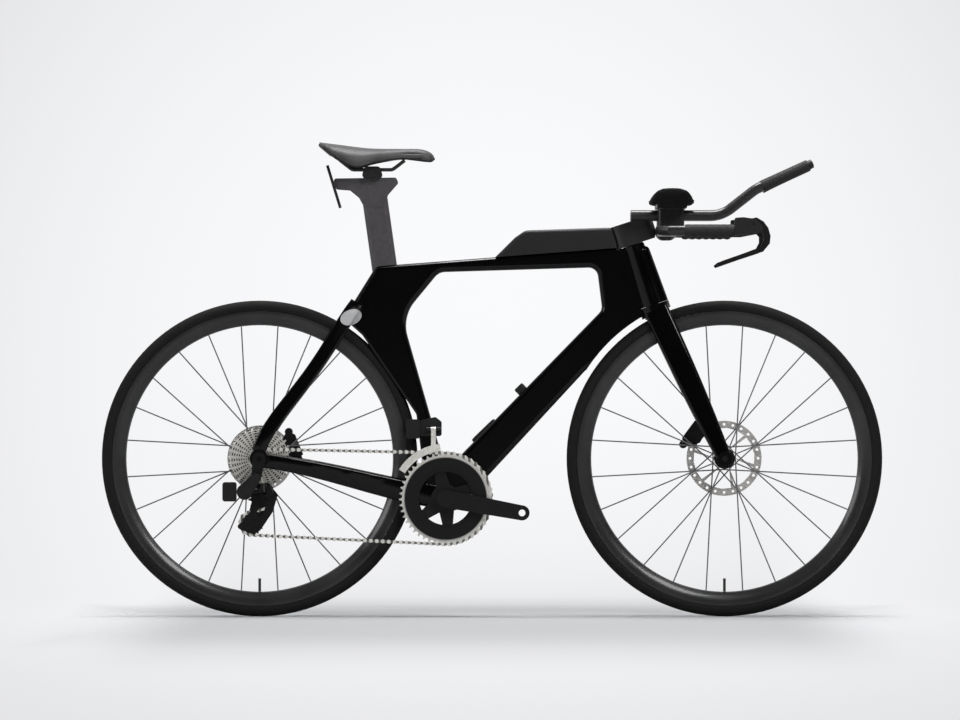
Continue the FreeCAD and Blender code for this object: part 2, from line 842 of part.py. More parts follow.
def hub_shell(name, axle, left_end, flanges, right_end):
    """A hub shell with two spoke flanges, a boss for the brake disc and two bearing seats."""
    lip = "bearing_diameter/2 - bearing_lip"
    seat = "bearing_diameter/2"
    boss = "hub_boss_diameter/2"
    profile = [
        (lip, f"{left_end} - bearing_width"),
        (seat, f"{left_end} - bearing_width"),
        (seat, left_end),
        (boss, left_end),
        (boss, f"{left_end} - hub_boss_length"),
        ("hub_waist_diameter/2", f"{left_end} - hub_boss_length"),
        *flange_corners(flanges[0]),
        *flange_corners(flanges[1]),
        ("hub_waist_diameter/2", right_end),
        (seat, right_end),
        (seat, f"{right_end} + bearing_width"),
        (lip, f"{right_end} + bearing_width"),
    ]
    return turned_across(name, profile, axle)


def make_front_hub(axle):
    left_end = "front_rotor_offset + hub_boss_length/2"
    right_end = "-front_hub_right_end"
    cap = "front_spacing/2 - seat_gap"
    pieces = [
        hub_shell("front_hub_shell", axle, left_end, ("front_left_flange", "-front_right_flange"), right_end),
        bearing_and_cap("front_left_bearing", f"{left_end} - bearing_width", left_end, cap, axle),
        bearing_and_cap("front_right_bearing", f"{right_end} + bearing_width", right_end, f"-({cap})", axle),
    ]
    return as_node(grouped("front_hub", pieces), "front_hub")


def make_rear_hub(axle):
    left_end = "rear_rotor_offset + hub_boss_length/2"
    right_end = "-rear_right_flange - flange_thickness"
    cap = "rear_spacing/2 - seat_gap"
    right_seat = f"{right_end} + bearing_width"
    bore = "axle_diameter/2 + fit_clearance"
    outer = "bearing_diameter/2 - fit_clearance"
    ring = [(bore, right_seat), (outer, right_seat), (outer, right_end), (bore, right_end)]
    pieces = [
        hub_shell("rear_hub_shell", axle, left_end, ("rear_left_flange", "-rear_right_flange"), right_end),
        bearing_and_cap("rear_left_bearing", f"{left_end} - bearing_width", left_end, cap, axle),
        turned_across("rear_right_bearing", ring, axle),
    ]
    return as_node(grouped("rear_hub", pieces), "rear_hub")


def rotor_window(body, name, outer):
    """The gap between two swept arms of a brake disc, as corners on the disc's own plane."""
    inner = "rotor_collar_diameter/2"
    spread = CIRCLE_DEGREES / ROTOR_ARMS
    corners = []
    for radius, share in ((inner, 0), (outer, 0), (outer, 1 / 3), (outer, 2 / 3), (outer, 1), (inner, 1)):
        half = f"rotor_arm_width/2/{radius}*180/pi*(1 - 2*{share})"
        sweep = "rotor_arm_sweep" if radius == outer else "0"
        angle = f"(({half} + {spread * share} + {sweep})*1deg)"
        corners.append((f"{radius}*cos({angle})", f"{radius}*sin({angle})"))
    return outline_sketch(body, name, "XY_Plane", corners)


def make_rotor(name, axle, offset):
    """A brake disc: a vented band held by swept arms on a collar that fits the hub boss."""
    body = new_body(name)
    edge = f"{name}_diameter/2"
    disc = circle_sketch(body, f"{name}_disc", (edge, "hub_boss_diameter/2 + fit_clearance"))
    pad(body, disc, "rotor_thickness")
    window = rotor_window(body, f"{name}_window", f"({edge} - rotor_band_width)")
    polar_pattern(body, pocket_through(body, window), window, ROTOR_ARMS)
    vent_centre = f"{edge} - rotor_band_width/2"
    vent = circle_sketch(body, f"{name}_vent", ("rotor_vent_diameter/2",), vent_centre)
    polar_pattern(body, pocket_through(body, vent), vent, ROTOR_VENTS)
    return as_node(place(body, axle + Y_AXIS * offset, Y_AXIS), name)


def make_axle(name, axle, half_length):
    """A through axle with a round head on its left end."""
    rod_radius = "axle_diameter/2"
    head = "axle_head_diameter/2"
    shoulder = half_length
    end = f"{half_length} + axle_head_length"
    profile = [("0", f"-({half_length})"), (rod_radius, f"-({half_length})"), (rod_radius, shoulder),
               (head, shoulder), (head, end), ("0", end)]
    return as_node(turned_across(name, profile, axle), name)


def make_wheels(layout):
    """Both wheels: tyre, rim, spokes, hub and brake disc of each."""
    for end, axle in (("front", layout.front_axle), ("rear", layout.rear_axle)):
        make_tyre(f"{end}_tyre", axle)
        make_rim(f"{end}_rim", axle)
    front_flanges = {LEFT: s.front_left_flange, RIGHT: s.front_right_flange}
    rear_flanges = {LEFT: s.rear_left_flange, RIGHT: s.rear_right_flange}
    make_spokes("front_spokes", layout.front_axle, front_flanges, LEFT)
    make_spokes("rear_spokes", layout.rear_axle, rear_flanges, RIGHT)
    make_front_hub(layout.front_axle)
    make_rear_hub(layout.rear_axle)
    make_rotor("front_rotor", layout.front_axle, s.front_rotor_offset)
    make_rotor("rear_rotor", layout.rear_axle, s.rear_rotor_offset)
    make_axle("front_axle", layout.front_axle, "front_spacing/2 + fork_dropout_thickness")
    make_axle("rear_axle", layout.rear_axle, "rear_spacing/2 + rear_dropout_thickness")


@dataclass
class Sprocket:
    """One toothed wheel that the chain runs round, turning left (1) or right (-1) along the loop."""

    centre: FreeCAD.Vector
    teeth: int
    sense: int
    lateral: float

    @property
    def radius(self):
        return s.chain_pitch / (2 * math.sin(math.pi / self.teeth))


class ChainLoop:
    """The loop of the chain: round each wheel in turn and straight from one to the next.

    The rollers stand exactly a pitch apart, so that they sit in the teeth. Only the slack run,
    the last one of the loop, shares out what is left over.
    """

    def __init__(self, sprockets):
        self.sprockets = sprockets
        self.segments = []
        count = len(sprockets)
        headings = [self.heading(sprockets[i], sprockets[(i + 1) % count]) for i in range(count)]
        for index, wheel in enumerate(sprockets):
            self.add_arc(wheel, headings[index - 1], headings[index])
            self.add_run(wheel, sprockets[(index + 1) % count], headings[index])
        self.rollers = self.walk()

    @staticmethod
    def heading(first, second):
        """The direction of the straight run from one wheel to the next."""
        between = second.centre - first.centre
        bearing = math.atan2(between.z, between.x)
        offset = second.sense * second.radius - first.sense * first.radius
        return bearing - math.asin(offset / math.hypot(between.x, between.z))

    def add_arc(self, wheel, heading_in, heading_out):
        start = heading_in - wheel.sense * math.pi / 2
        sweep = wheel.sense * ((wheel.sense * (heading_out - heading_in)) % (2 * math.pi))

        def point(share):
            return polar(wheel.centre, wheel.radius, math.degrees(start + sweep * share)) + Y_AXIS * wheel.lateral

        self.segments.append((wheel.radius * abs(sweep), point))

    def add_run(self, wheel, following, heading):
        leave = math.degrees(heading - wheel.sense * math.pi / 2)
        arrive = math.degrees(heading - following.sense * math.pi / 2)
        start = polar(wheel.centre, wheel.radius, leave)
        end = polar(following.centre, following.radius, arrive)
        length = start.distanceToPoint(end)
        lead = min(s.chain_lead_length, length / 2)
        aside = following.lateral - wheel.lateral

        def point(share):
            shift = (share * length - lead) / max(length - 2 * lead, s.chain_pitch)
            return start + (end - start) * share + Y_AXIS * (wheel.lateral + aside * min(max(shift, 0), 1))

        self.segments.append((length, point))

    def point(self, distance):
        """The point of the loop at a distance from its start, where the chain meets the first wheel."""
        for length, place_at in self.segments[:-1]:
            if distance <= length:
                return place_at(distance / length)
            distance -= length
        length, place_at = self.segments[-1]
        return place_at(distance / length)

    def next_roller(self, distance):
        """The distance of the next roller, one straight pitch further on."""
        here = self.point(distance)
        low = distance + s.chain_pitch
        high = distance + s.chain_pitch * CHORD_SEARCH_SHARE
        for _ in range(BISECTIONS):
            middle = (low + high) / 2
            if self.point(middle).distanceToPoint(here) < s.chain_pitch:
                low = middle
            else:
                high = middle
        return low

    def walk(self):
        """Distances of all rollers, an even number of them."""
        total = sum(length for length, _ in self.segments)
        slack_start = total - self.segments[-1][0]
        distances = [0.0]
        while True:
            following = self.next_roller(distances[-1])
            if following > slack_start:
                break
            distances.append(following)
        left_over = total - distances[-1]
        links = round(left_over / s.chain_pitch)
        if (len(distances) - 1 + links) % 2:
            links += 1 if left_over / links > s.chain_pitch else -1
        last = distances[-1]
        distances.extend(last + left_over * (index + 1) / links for index in range(links - 1))
        return distances

    def points(self):
        return [self.point(distance) for distance in self.rollers]

    def seat_angle(self, number):
        """The angle of a roller that sits on the given wheel."""
        before = sum(length for length, _ in self.segments[:2 * number])
        roller = next(distance for distance in self.rollers if distance >= before)
        spot = self.point(roller) - self.sprockets[number].centre
        return math.degrees(math.atan2(spot.z, spot.x))


def chain_sprockets(layout):
    """The four wheels of the chain's loop, from the chainring over the cassette and both pulleys."""
    axle = layout.rear_axle
    guide = axle + vec(s.guide_pulley_ahead, 0, -s.guide_pulley_drop)
    tension = axle + vec(-s.tension_pulley_behind, 0, -s.tension_pulley_drop)
    inner = -s.first_cog_offset
    return (
        Sprocket(layout.crank, BIG_RING_TEETH, 1, -s.big_ring_offset),
        Sprocket(axle, COG_TEETH[0], 1, inner),
        Sprocket(guide, PULLEY_TEETH, -1, inner),
        Sprocket(tension, PULLEY_TEETH, 1, inner),
    )


def toothed_plate(wheel, seat_angle, thickness):
    """A flat plate with straight-sided teeth whose gaps take the rollers."""
    root = wheel.radius - s.roller_diameter / 2 - s.tooth_root_clearance
    tip = wheel.radius + s.tooth_tip_rise
    base_turn = math.degrees(TOOTH_BASE_SHARE * s.chain_pitch / root)
    tip_turn = math.degrees(TOOTH_TIP_SHARE * s.chain_pitch / tip)
    step = CIRCLE_DEGREES / wheel.teeth
    corners = []
    for index in range(wheel.teeth):
        middle = seat_angle + step * (index + 1 / 2)
        for radius, turn in ((root, -base_turn), (tip, -tip_turn), (tip, tip_turn), (root, base_turn)):
            corners.append(polar(wheel.centre, radius, middle + turn))
    low = wheel.lateral - thickness / 2
    return slab(straight_wire(corners), low, low + thickness)


def across_cylinder(centre, radius, low, high):
    """A cylinder across the bicycle, from the low to the high lateral offset."""
    return Part.makeCylinder(radius, high - low, centre + Y_AXIS * low, Y_AXIS)


def link_plate(start, end, inner_face, side):
    """One chain plate, pointed at both ends, on one side of the rollers."""
    heading = end - start
    up = heading.cross(Y_AXIS).normalize() * (s.chain_plate_height / 2)
    out = heading * LINK_END_SHARE
    waist = up * LINK_WAIST_SHARE
    middle = (start + end) / 2
    corners = (start - out, start + up, middle + waist, end + up, end + out, end - up, middle - waist, start - up)
    shift = Y_AXIS * (side * inner_face)
    plate = Part.Face(straight_wire([corner + shift for corner in corners]))
    return plate.extrude(Y_AXIS * (side * s.chain_plate_thickness))


def chain_roller(spot):
    """A six-sided roller between two inner plates."""
    half = s.chain_inner_half_width - s.chain_plate_gap
    step = CIRCLE_DEGREES / ROLLER_SIDES
    corners = [polar(spot, s.roller_diameter / 2, step * index) - Y_AXIS * half for index in range(ROLLER_SIDES)]
    return Part.Face(straight_wire(corners)).extrude(Y_AXIS * (2 * half))


def make_chain(loop):
    """Inner links with their rollers and outer links between them, in turn."""
    points = loop.points()
    outer_face = s.chain_inner_half_width + s.chain_plate_thickness + s.chain_plate_gap
    pieces = []
    for index, start in enumerate(points):
        end = points[(index + 1) % len(points)]
        is_inner = index % 2 == 0
        face = s.chain_inner_half_width if is_inner else outer_face
        pieces.extend(link_plate(start, end, face, side) for side in (LEFT, RIGHT))
        if is_inner:
            pieces.extend(chain_roller(spot) for spot in (start, end))
    return as_node(feature("chain", Part.makeCompound(pieces)), "chain")


def make_chainrings(loop, layout):
    """The big ring with its smooth cover and the small ring behind it."""
    big = loop.sprockets[0]
    low = big.lateral - s.ring_tooth_thickness / 2
    high = big.lateral + s.ring_tooth_thickness / 2
    bore = across_cylinder(layout.crank, s.big_ring_inner_diameter / 2,
                           low - s.big_ring_cover_rise - s.cut_overrun, high + s.cut_overrun)
    cover_radius = s.big_ring_cover_diameter / 2
    cover = across_cylinder(layout.crank, cover_radius, low - s.big_ring_cover_rise, low)
    plate = toothed_plate(big, loop.seat_angle(0), s.ring_tooth_thickness)
    as_node(feature("chainring_big", fuse_all([plate, cover]).cut(bore)), "chainring_big")
    small = Sprocket(layout.crank, SMALL_RING_TEETH, 1, big.lateral + s.ring_spacing)
    hole = across_cylinder(layout.crank, s.small_ring_inner_diameter / 2, low, small.lateral + s.cut_overrun)
    ring = toothed_plate(small, loop.seat_angle(0), s.ring_tooth_thickness).cut(hole)
    as_node(feature("chainring_small", ring), "chainring_small")


def tapered_outline(first, first_radius, second, second_radius):
    """Two round ends joined by straight sides, in the side view."""
    between = second - first
    bearing = math.degrees(math.atan2(between.z, between.x))
    lean = math.degrees(math.acos((first_radius - second_radius) / first.distanceToPoint(second)))
    upper = polar(first, first_radius, bearing + lean), polar(second, second_radius, bearing + lean)
    lower = polar(first, first_radius, bearing - lean), polar(second, second_radius, bearing - lean)
    back = polar(first, first_radius, bearing + CIRCLE_DEGREES / 2)
    nose = polar(second, second_radius, bearing)
    edges = [
        Part.LineSegment(*upper).toShape(),
        Part.Arc(upper[1], nose, lower[1]).toShape(),
        Part.LineSegment(lower[1], lower[0]).toShape(),
        Part.Arc(lower[0], back, upper[0]).toShape(),
    ]
    return Part.Wire(edges)


def crank_arm(layout, side, degrees):
    """One crank arm with its pedal hole, without what holds it to the spindle."""
    pedal = polar(layout.crank, s.crank_length, degrees)
    wire = tapered_outline(layout.crank, s.crank_root_width / 2, pedal, s.crank_tip_width / 2)
    low, high = sorted((side * s.crank_inner_offset, side * (s.crank_inner_offset + s.crank_thickness)))
    hole = across_cylinder(pedal, s.pedal_hole_diameter / 2, low - s.cut_overrun, high + s.cut_overrun)
    return slab(wire, low, high).cut(hole)


def make_cranks(layout):
    """The right arm on the end of the spindle that carries the spider, and the left arm that clamps on it."""
    outer_ring = s.big_ring_offset - s.ring_tooth_thickness / 2
    inner_ring = s.big_ring_offset - s.ring_spacing + s.ring_tooth_thickness / 2
    low = -outer_ring + s.fit_clearance
    high = -inner_ring - s.fit_clearance
    arm_face = s.crank_inner_offset + s.crank_thickness
    bore = across_cylinder(layout.crank, s.spindle_diameter / 2 + s.fit_clearance,
                           -arm_face - s.cut_overrun, arm_face + s.cut_overrun)
    boss_face = s.fit_clearance - s.crank_inner_offset
    pieces = [across_cylinder(layout.crank, s.spider_hub_diameter / 2, low, high)]
    pieces.append(across_cylinder(layout.crank, s.crank_root_width / 2, boss_face, high))
    for turn in SPIDER_ANGLES:
        tab = polar(layout.crank, (s.spider_tab_diameter - s.spider_arm_width) / 2, s.crank_angle + turn)
        arm = tapered_outline(layout.crank, s.spider_arm_width * SPIDER_ROOT_SHARE, tab, s.spider_arm_width / 2)
        pieces.append(slab(arm, low, high))
    pieces.append(across_cylinder(layout.crank, s.spindle_diameter / 2, -arm_face, arm_face))
    right = crank_arm(layout, RIGHT, s.crank_angle).cut(bore)
    as_node(feature("crank_arm_right", Part.makeCompound([right, fuse_all(pieces)])), "crank_arm_right")
    boss_start = s.shell_width / 2 + s.cup_flange_width + s.seat_gap
    boss = across_cylinder(layout.crank, s.crank_root_width / 2, boss_start, s.crank_inner_offset)
    left = crank_arm(layout, LEFT, s.crank_angle + CIRCLE_DEGREES / 2)
    as_node(feature("crank_arm_left", fuse_all([left, boss]).cut(bore)), "crank_arm_left")


def make_bottom_bracket(layout):
    """Two bearing cups pressed into the shell, with flanges on its faces."""
    bore = "spindle_diameter/2 + fit_clearance"
    body = "shell_bore_diameter/2 - fit_clearance"
    flange = "cup_flange_diameter/2"
    face = "shell_width/2 + fit_clearance"
    inner = "shell_width/4"
    end = "shell_width/2 + cup_flange_width"
    profile = [(bore, inner), (body, inner), (body, face), (flange, face), (flange, end), (bore, end)]
    return pair("bottom_bracket", turned_across("left_cup", profile, layout.crank))


def polygon_across(centre, radius, sides, low, high):
    """A regular prism across the bicycle."""
    corners = [polar(centre, radius, CIRCLE_DEGREES * index / sides) for index in range(sides)]
    return slab(straight_wire(corners), low, high)


def cog_windows(cog, plate, core_radius):
    """The cog with a ring of six-sided openings, where it is wide enough for them."""
    root = cog.radius - s.roller_diameter / 2
    width = (root - core_radius) * COG_WINDOW_SHARES[0]
    if width < s.cog_window_width:
        return plate
    middle = (root + core_radius) / 2
    count = math.floor(2 * math.pi * middle / (width * COG_WINDOW_SHARES[1]))
    low, high = cog.lateral - s.cog_thickness, cog.lateral + s.cog_thickness
    spots = [polar(cog.centre, middle, CIRCLE_DEGREES * index / count) for index in range(count)]
    return plate.cut([polygon_across(spot, width / 2, ROLLER_SIDES, low, high) for spot in spots])


def make_cassette(loop, layout):
    """Twelve cogs on a splined core that runs on the axle."""
    axle = layout.rear_axle
    core_radius = s.cassette_core_diameter / 2
    inner_end = -s.rear_right_flange - s.flange_thickness - s.seat_gap
    outer_end = -s.first_cog_offset - s.cog_spacing
    cap_end = -s.rear_spacing / 2 + s.seat_gap
    core = polygon_across(axle, core_radius, CORE_SIDES, outer_end, inner_end)
    cap = across_cylinder(axle, s.hub_cap_diameter / 2, cap_end, outer_end)
    bore = across_cylinder(axle, s.axle_diameter / 2 + s.fit_clearance, cap_end - s.cut_overrun, 0)
    pieces = [fuse_all([core, cap]).cut(bore)]
    for index, teeth in enumerate(COG_TEETH):
        cog = Sprocket(axle, teeth, 1, -s.first_cog_offset + index * s.cog_spacing)
        plate = toothed_plate(cog, loop.seat_angle(1), s.cog_thickness)
        spline = polygon_across(axle, core_radius + s.fit_clearance, CORE_SIDES,
                                cog.lateral - s.cog_thickness, cog.lateral + s.cog_thickness)
        pieces.append(cog_windows(cog, plate.cut(spline), core_radius))
    return as_node(feature("cassette", Part.makeCompound(pieces)), "cassette")


def make_drivetrain(layout):
    """Chain, chainrings, cranks, bottom bracket and cassette."""
    loop = ChainLoop(chain_sprockets(layout))
    make_chain(loop)
    make_chainrings(loop, layout)
    make_cranks(layout)
    make_bottom_bracket(layout)
    make_cassette(loop, layout)
    return loop


def frame_outline(layout, shares):
    """A closed outline of the frame's side view from its table of shares."""
    corners = [(layout.frame_point(ahead, up), round_share * s.frame_reach) for ahead, up, round_share in shares]
    return rounded_outline(corners)


def side_edges(shape, half_width):
    """The edges of a slab that run round its two flat sides."""
    edges = []
    for edge in shape.Edges:
        box = edge.BoundBox
        if box.YLength < s.tiny and abs(abs(box.Center.y) - half_width) < s.tiny:
            edges.append(edge)
    return edges


def main_panel(layout):
    """Top tube, down tube, seat tube and head as one hollowed outline with rounded edges."""
    half = s.frame_width / 2
    panel = slab(frame_outline(layout, PANEL_SHARES), -half, half)
    window = slab(frame_outline(layout, WINDOW_SHARES), -half, half)
    panel = panel.cut(window)
    return panel.makeFillet(s.frame_edge_radius, side_edges(panel, half))


def stay(layout, stations, depth, side, extra=0):
    """One stay, lofted through its stations from the front triangle to the dropout."""
    points = []
    for ahead, up, lateral, _, _ in stations:
        points.append(layout.frame_point(ahead, up) + Y_AXIS * (side * lateral * s.rear_spacing / 2))
    heading = points[-1] - points[0]
    along = vec(-heading.z, 0, heading.x).normalize()
    wires = []
    for point, (_, _, _, width_share, depth_share) in zip(points, stations):
        width = s.stay_width * width_share + 2 * extra
        wires.append(section(point, Y_AXIS, along, width, depth * depth_share + 2 * extra, TUBE_ROUND_SHARE))
    return loft(wires)


def dropout_plates(layout):
    """Two round plates that hold the rear axle."""
    inner = s.rear_spacing / 2
    outer = inner + s.rear_dropout_thickness
    radius = s.rear_dropout_radius
    return [across_cylinder(layout.rear_axle, radius, inner, outer),
            across_cylinder(layout.rear_axle, radius, -outer, -inner)]


def steer_cylinder(layout, radius, low, high):
    """A cylinder on the steering axis between two heights counted from the top of the head tube."""
    return Part.makeCylinder(radius, high - low, layout.steer(low), layout.steer_up)


def head_tube(layout):
    """A slightly tapered tube on the steering axis."""
    return Part.makeCone(s.head_tube_bottom_diameter / 2, s.head_tube_top_diameter / 2, s.head_tube_length,
                         layout.steer(-s.head_tube_length), layout.steer_up)


def head_bores(layout):
    """The steerer's bore, both bearing seats and the room that the fork crown turns in."""
    length = s.head_tube_length
    seat = s.headset_bearing_height
    below = layout.steer(-length - s.crown_height * 2)
    front = Part.makeBox(s.crown_depth, s.crown_depth, s.crown_height * 2, ORIGIN)
    front.translate(vec(0, -s.crown_depth / 2, 0))
    front.Placement = FreeCAD.Placement(below, FreeCAD.Rotation(layout.steer_ahead, Y_AXIS, layout.steer_up)) \
        .multiply(front.Placement)
    return [
        steer_cylinder(layout, s.steerer_diameter / 2 + s.steerer_clearance, -length, s.cut_overrun),
        steer_cylinder(layout, s.lower_bearing_diameter / 2, -length - s.cut_overrun, -length + seat),
        steer_cylinder(layout, s.upper_bearing_diameter / 2, -seat, s.cut_overrun),
        steer_cylinder(layout, s.crown_recess_radius, -length - s.crown_height * 2, -length),
        front,
    ]


class Post:
    """The line of the seat post: its foot at the top of the seat cluster and its direction."""

    def __init__(self, layout):
        lean = math.radians(s.post_angle)
        self.up = vec(-math.cos(lean), 0, math.sin(lean))
        self.ahead = vec(math.sin(lean), 0, math.cos(lean))
        self.foot = layout.frame_point(*POST_FOOT_SHARES)

    def point(self, up, ahead=0, left=0):
        return self.foot + self.up * up + self.ahead * ahead + Y_AXIS * left

    def bar(self, low, high, extra):
        """A length of the post's section, larger by an extra all round."""
        wire = section(self.point(low), Y_AXIS, self.ahead, s.post_width + 2 * extra, s.post_depth + 2 * extra,
                       POST_ROUND_SHARE)
        return Part.Face(wire).extrude(self.up * (high - low))

    def wedge(self, extra):
        """The clamp wedge ahead of the post, larger by an extra all round."""
        size = vec(s.wedge_length, s.wedge_width, s.wedge_height) + vec(extra, extra, extra) * 2
        block = Part.makeBox(size.x, size.y, size.z, vec(-extra, -size.y / 2, -extra))
        base = self.point(-s.wedge_height - s.wedge_sink, s.post_depth / 2 + 2 * s.socket_clearance)
        block.Placement = FreeCAD.Placement(base, FreeCAD.Rotation(self.ahead, Y_AXIS, self.up)) \
            .multiply(block.Placement)
        return block


def frame_cuts(layout, post):
    """Everything taken out of the frame: wheel room, bores, socket and axle holes."""
    wheel = wheel_radius() + s.wheel_clearance
    half_slot = s.wheel_slot_width / 2
    half_bore = s.shell_width / 2 + s.cut_overrun
    inner = s.rear_spacing / 2
    outer = inner + s.rear_dropout_thickness + s.cut_overrun
    axle_hole = s.axle_diameter / 2 + s.fit_clearance
    wedge_room = post.wedge(s.socket_clearance)
    wedge_mouth = wedge_room.copy()
    wedge_mouth.translate(post.up * s.wedge_height)
    return [
        across_cylinder(layout.rear_axle, wheel, -half_slot, half_slot),
        across_cylinder(layout.front_axle, wheel, -s.frame_width, s.frame_width),
        across_cylinder(layout.crank, s.shell_bore_diameter / 2, -half_bore, half_bore),
        across_cylinder(layout.rear_axle, s.rear_dropout_radius + s.cut_overrun, -inner, inner),
        across_cylinder(layout.rear_axle, axle_hole, -outer, outer),
        post.bar(-s.socket_depth, s.socket_depth, s.socket_clearance),
        wedge_room,
        wedge_mouth,
        steer_cylinder(layout, s.box_front_radius, 0, s.stem_height),
        *head_bores(layout),
    ]


def make_frame(layout, post):
    """The whole frame: front triangle, head tube, bottom bracket shell, stays and dropouts."""
    half_shell = s.shell_width / 2
    pieces = [main_panel(layout), head_tube(layout)]
    pieces.append(across_cylinder(layout.crank, s.shell_diameter / 2, -half_shell, half_shell))
    for side in (LEFT, RIGHT):
        pieces.append(stay(layout, SEATSTAY_SHARES, s.seatstay_depth, side))
        pieces.append(stay(layout, CHAINSTAY_SHARES, s.chainstay_depth, side))
    pieces.extend(dropout_plates(layout))
    shape = fuse_all(pieces)
    for tool in frame_cuts(layout, post):
        shape = shape.cut(tool)
    return as_node(feature("frame", shape), "frame")


def make_hanger(layout):
    """The separate plate under the right dropout that the rear derailleur bolts to."""
    inner = -s.rear_spacing / 2 - s.rear_dropout_thickness - s.fit_clearance
    low = inner - s.hanger_thickness
    tip = hanger_bolt(layout)
    wire = tapered_outline(layout.rear_axle, s.rear_dropout_radius * HANGER_ROOT_SHARE, tip, s.hanger_radius)
    hole = across_cylinder(layout.rear_axle, s.axle_diameter / 2 + s.fit_clearance, low - s.cut_overrun, 0)
    bolt = across_cylinder(tip, s.hanger_bolt_diameter / 2 + s.fit_clearance, low - s.cut_overrun, 0)
    as_node(feature("derailleur_hanger", slab(wire, low, inner).cut(hole).cut(bolt)), "derailleur_hanger")


def hanger_bolt(layout):
    """The axis of the bolt that holds the rear derailleur."""
    return layout.rear_axle + vec(s.hanger_ahead, 0, -s.hanger_drop)


def make_headset(layout):
    """Upper and lower steering bearings and the cover on top of the head tube."""
    inner = "steerer_diameter/2 + fit_clearance"
    height = "headset_bearing_height - 2*fit_clearance"
    rings = []
    for name, outer, base in (("upper", "upper_bearing_diameter", -s.headset_bearing_height),
                              ("lower", "lower_bearing_diameter", -s.head_tube_length)):
        edge = f"{outer}/2 - fit_clearance"
        ring = turned(f"{name}_headset_bearing", [(inner, "0"), (edge, "0"), (edge, height), (inner, height)])
        rings.append(place(ring, layout.steer(base + s.fit_clearance), layout.steer_up))
    as_node(grouped("headset_bearings", rings), "headset_bearings")
    rim = "headset_cover_diameter/2"
    top = "headset_cover_height"
    lip = "headset_cover_diameter/2 - headset_cover_height/2"
    profile = [(inner, "0"), (rim, "0"), (rim, f"{top}/2"), (lip, top), (inner, top)]
    cover = turned("headset_cover_ring", profile)
    as_node(place(cover, layout.steer(s.fit_clearance), layout.steer_up), "headset_cover")


def fork_blade(layout, side, extra=0):
    """One fork blade, lofted from the crown to the dropout."""
    top = layout.steer(-s.head_tube_length, s.crown_ahead)
    run = layout.front_axle - top
    along = vec(-run.z, 0, run.x).normalize()
    wires = []
    for share, lateral, width_share, depth_share in BLADE_SHARES:
        point = top + run * share + Y_AXIS * (side * lateral * s.front_spacing / 2)
        width = s.blade_width * width_share + 2 * extra
        wires.append(section(point, Y_AXIS, along, width, s.blade_depth * depth_share + 2 * extra, TUBE_ROUND_SHARE))
    return loft(wires)


def fork_crown(layout):
    """The crown under the head tube, round behind so that it can turn in its recess."""
    top = -s.head_tube_length - s.seat_gap
    wires = []
    for height in (top, top - s.crown_height):
        centre = layout.steer(height, s.crown_ahead)
        wires.append(section(centre, Y_AXIS, layout.steer_ahead, s.crown_width, s.crown_depth, CROWN_ROUND_SHARE))
    return loft(wires, True)


def make_fork(layout):
    """Steerer, crown, two blades and their dropouts in one piece."""
    inner = s.front_spacing / 2
    outer = inner + s.fork_dropout_thickness
    wheel = wheel_radius() + s.wheel_clearance / 2
    half_slot = s.wheel_slot_width / 2
    pieces = [fork_crown(layout)]
    pieces.append(steer_cylinder(layout, s.steerer_diameter / 2, -s.head_tube_length - s.crown_height / 2,
                                 s.steerer_height))
    for side in (LEFT, RIGHT):
        low, high = sorted((side * inner, side * outer))
        pieces.append(fork_blade(layout, side))
        pieces.append(across_cylinder(layout.front_axle, s.fork_dropout_radius, low, high))
    shape = fuse_all(pieces)
    hole = s.axle_diameter / 2 + s.fit_clearance
    for tool in (
        across_cylinder(layout.front_axle, wheel, -half_slot, half_slot),
        across_cylinder(layout.front_axle, s.fork_dropout_radius + s.cut_overrun, -inner, inner),
        across_cylinder(layout.front_axle, hole, -outer - s.cut_overrun, outer + s.cut_overrun),
        steer_cylinder(layout, s.steerer_bore_diameter / 2, -s.head_tube_length, s.steerer_height + s.cut_overrun),
    ):
        shape = shape.cut(tool)
    return as_node(feature("fork", shape), "fork")


def make_seatpost_clamp(post):
    as_node(feature("seatpost_clamp", post.wedge(0)), "seatpost_clamp")


def shares_outline(origin, ahead, up, table, length, height, round_share):
    """A closed outline whose points are shares of a length and a height from an origin."""
    radius = round_share * height
    corners = [(origin + ahead * (x * length) + up * (z * height), radius) for x, z in table]
    return rounded_outline(corners)


def post_head(head, extra):
    """The head of the post, with some extra on both sides."""
    half = s.head_width / 2 + extra
    wire = shares_outline(head, X_AXIS, Z_AXIS, POST_HEAD_SHARES, s.head_length, s.head_height,
                          POST_HEAD_ROUND_SHARE)
    return slab(wire, -half, half)


def make_seatpost(post):
    """The flat post with its head, which reaches back under the saddle."""
    head = post.point(s.head_rise)
    shape = fuse_all([post.bar(-s.post_insertion, s.head_rise, 0), post_head(head, 0)])
    as_node(feature("seatpost", shape), "seatpost")
    return head


def rail_path(head, left):
    """The middle line of one saddle rail, raised at both ends."""
    level = head.z + s.rail_height
    middle = head.x + s.clamp_ahead
    ends = s.rail_length / 2
    stations = (
        (middle - ends - s.rail_end_run, level + s.rail_end_rise),
        (middle - ends, level),
        (middle + ends, level),
        (middle + ends + s.rail_end_run, level + s.rail_end_rise),
    )
    return rounded_path([(vec(x, left, z), s.rail_bend) for x, z in stations])


def make_rails(head):
    half = s.rail_spacing / 2
    rail = feature("left_rail", tube_along(rail_path(head, half), s.rail_diameter / 2))
    return pair("saddle_rails", rail)


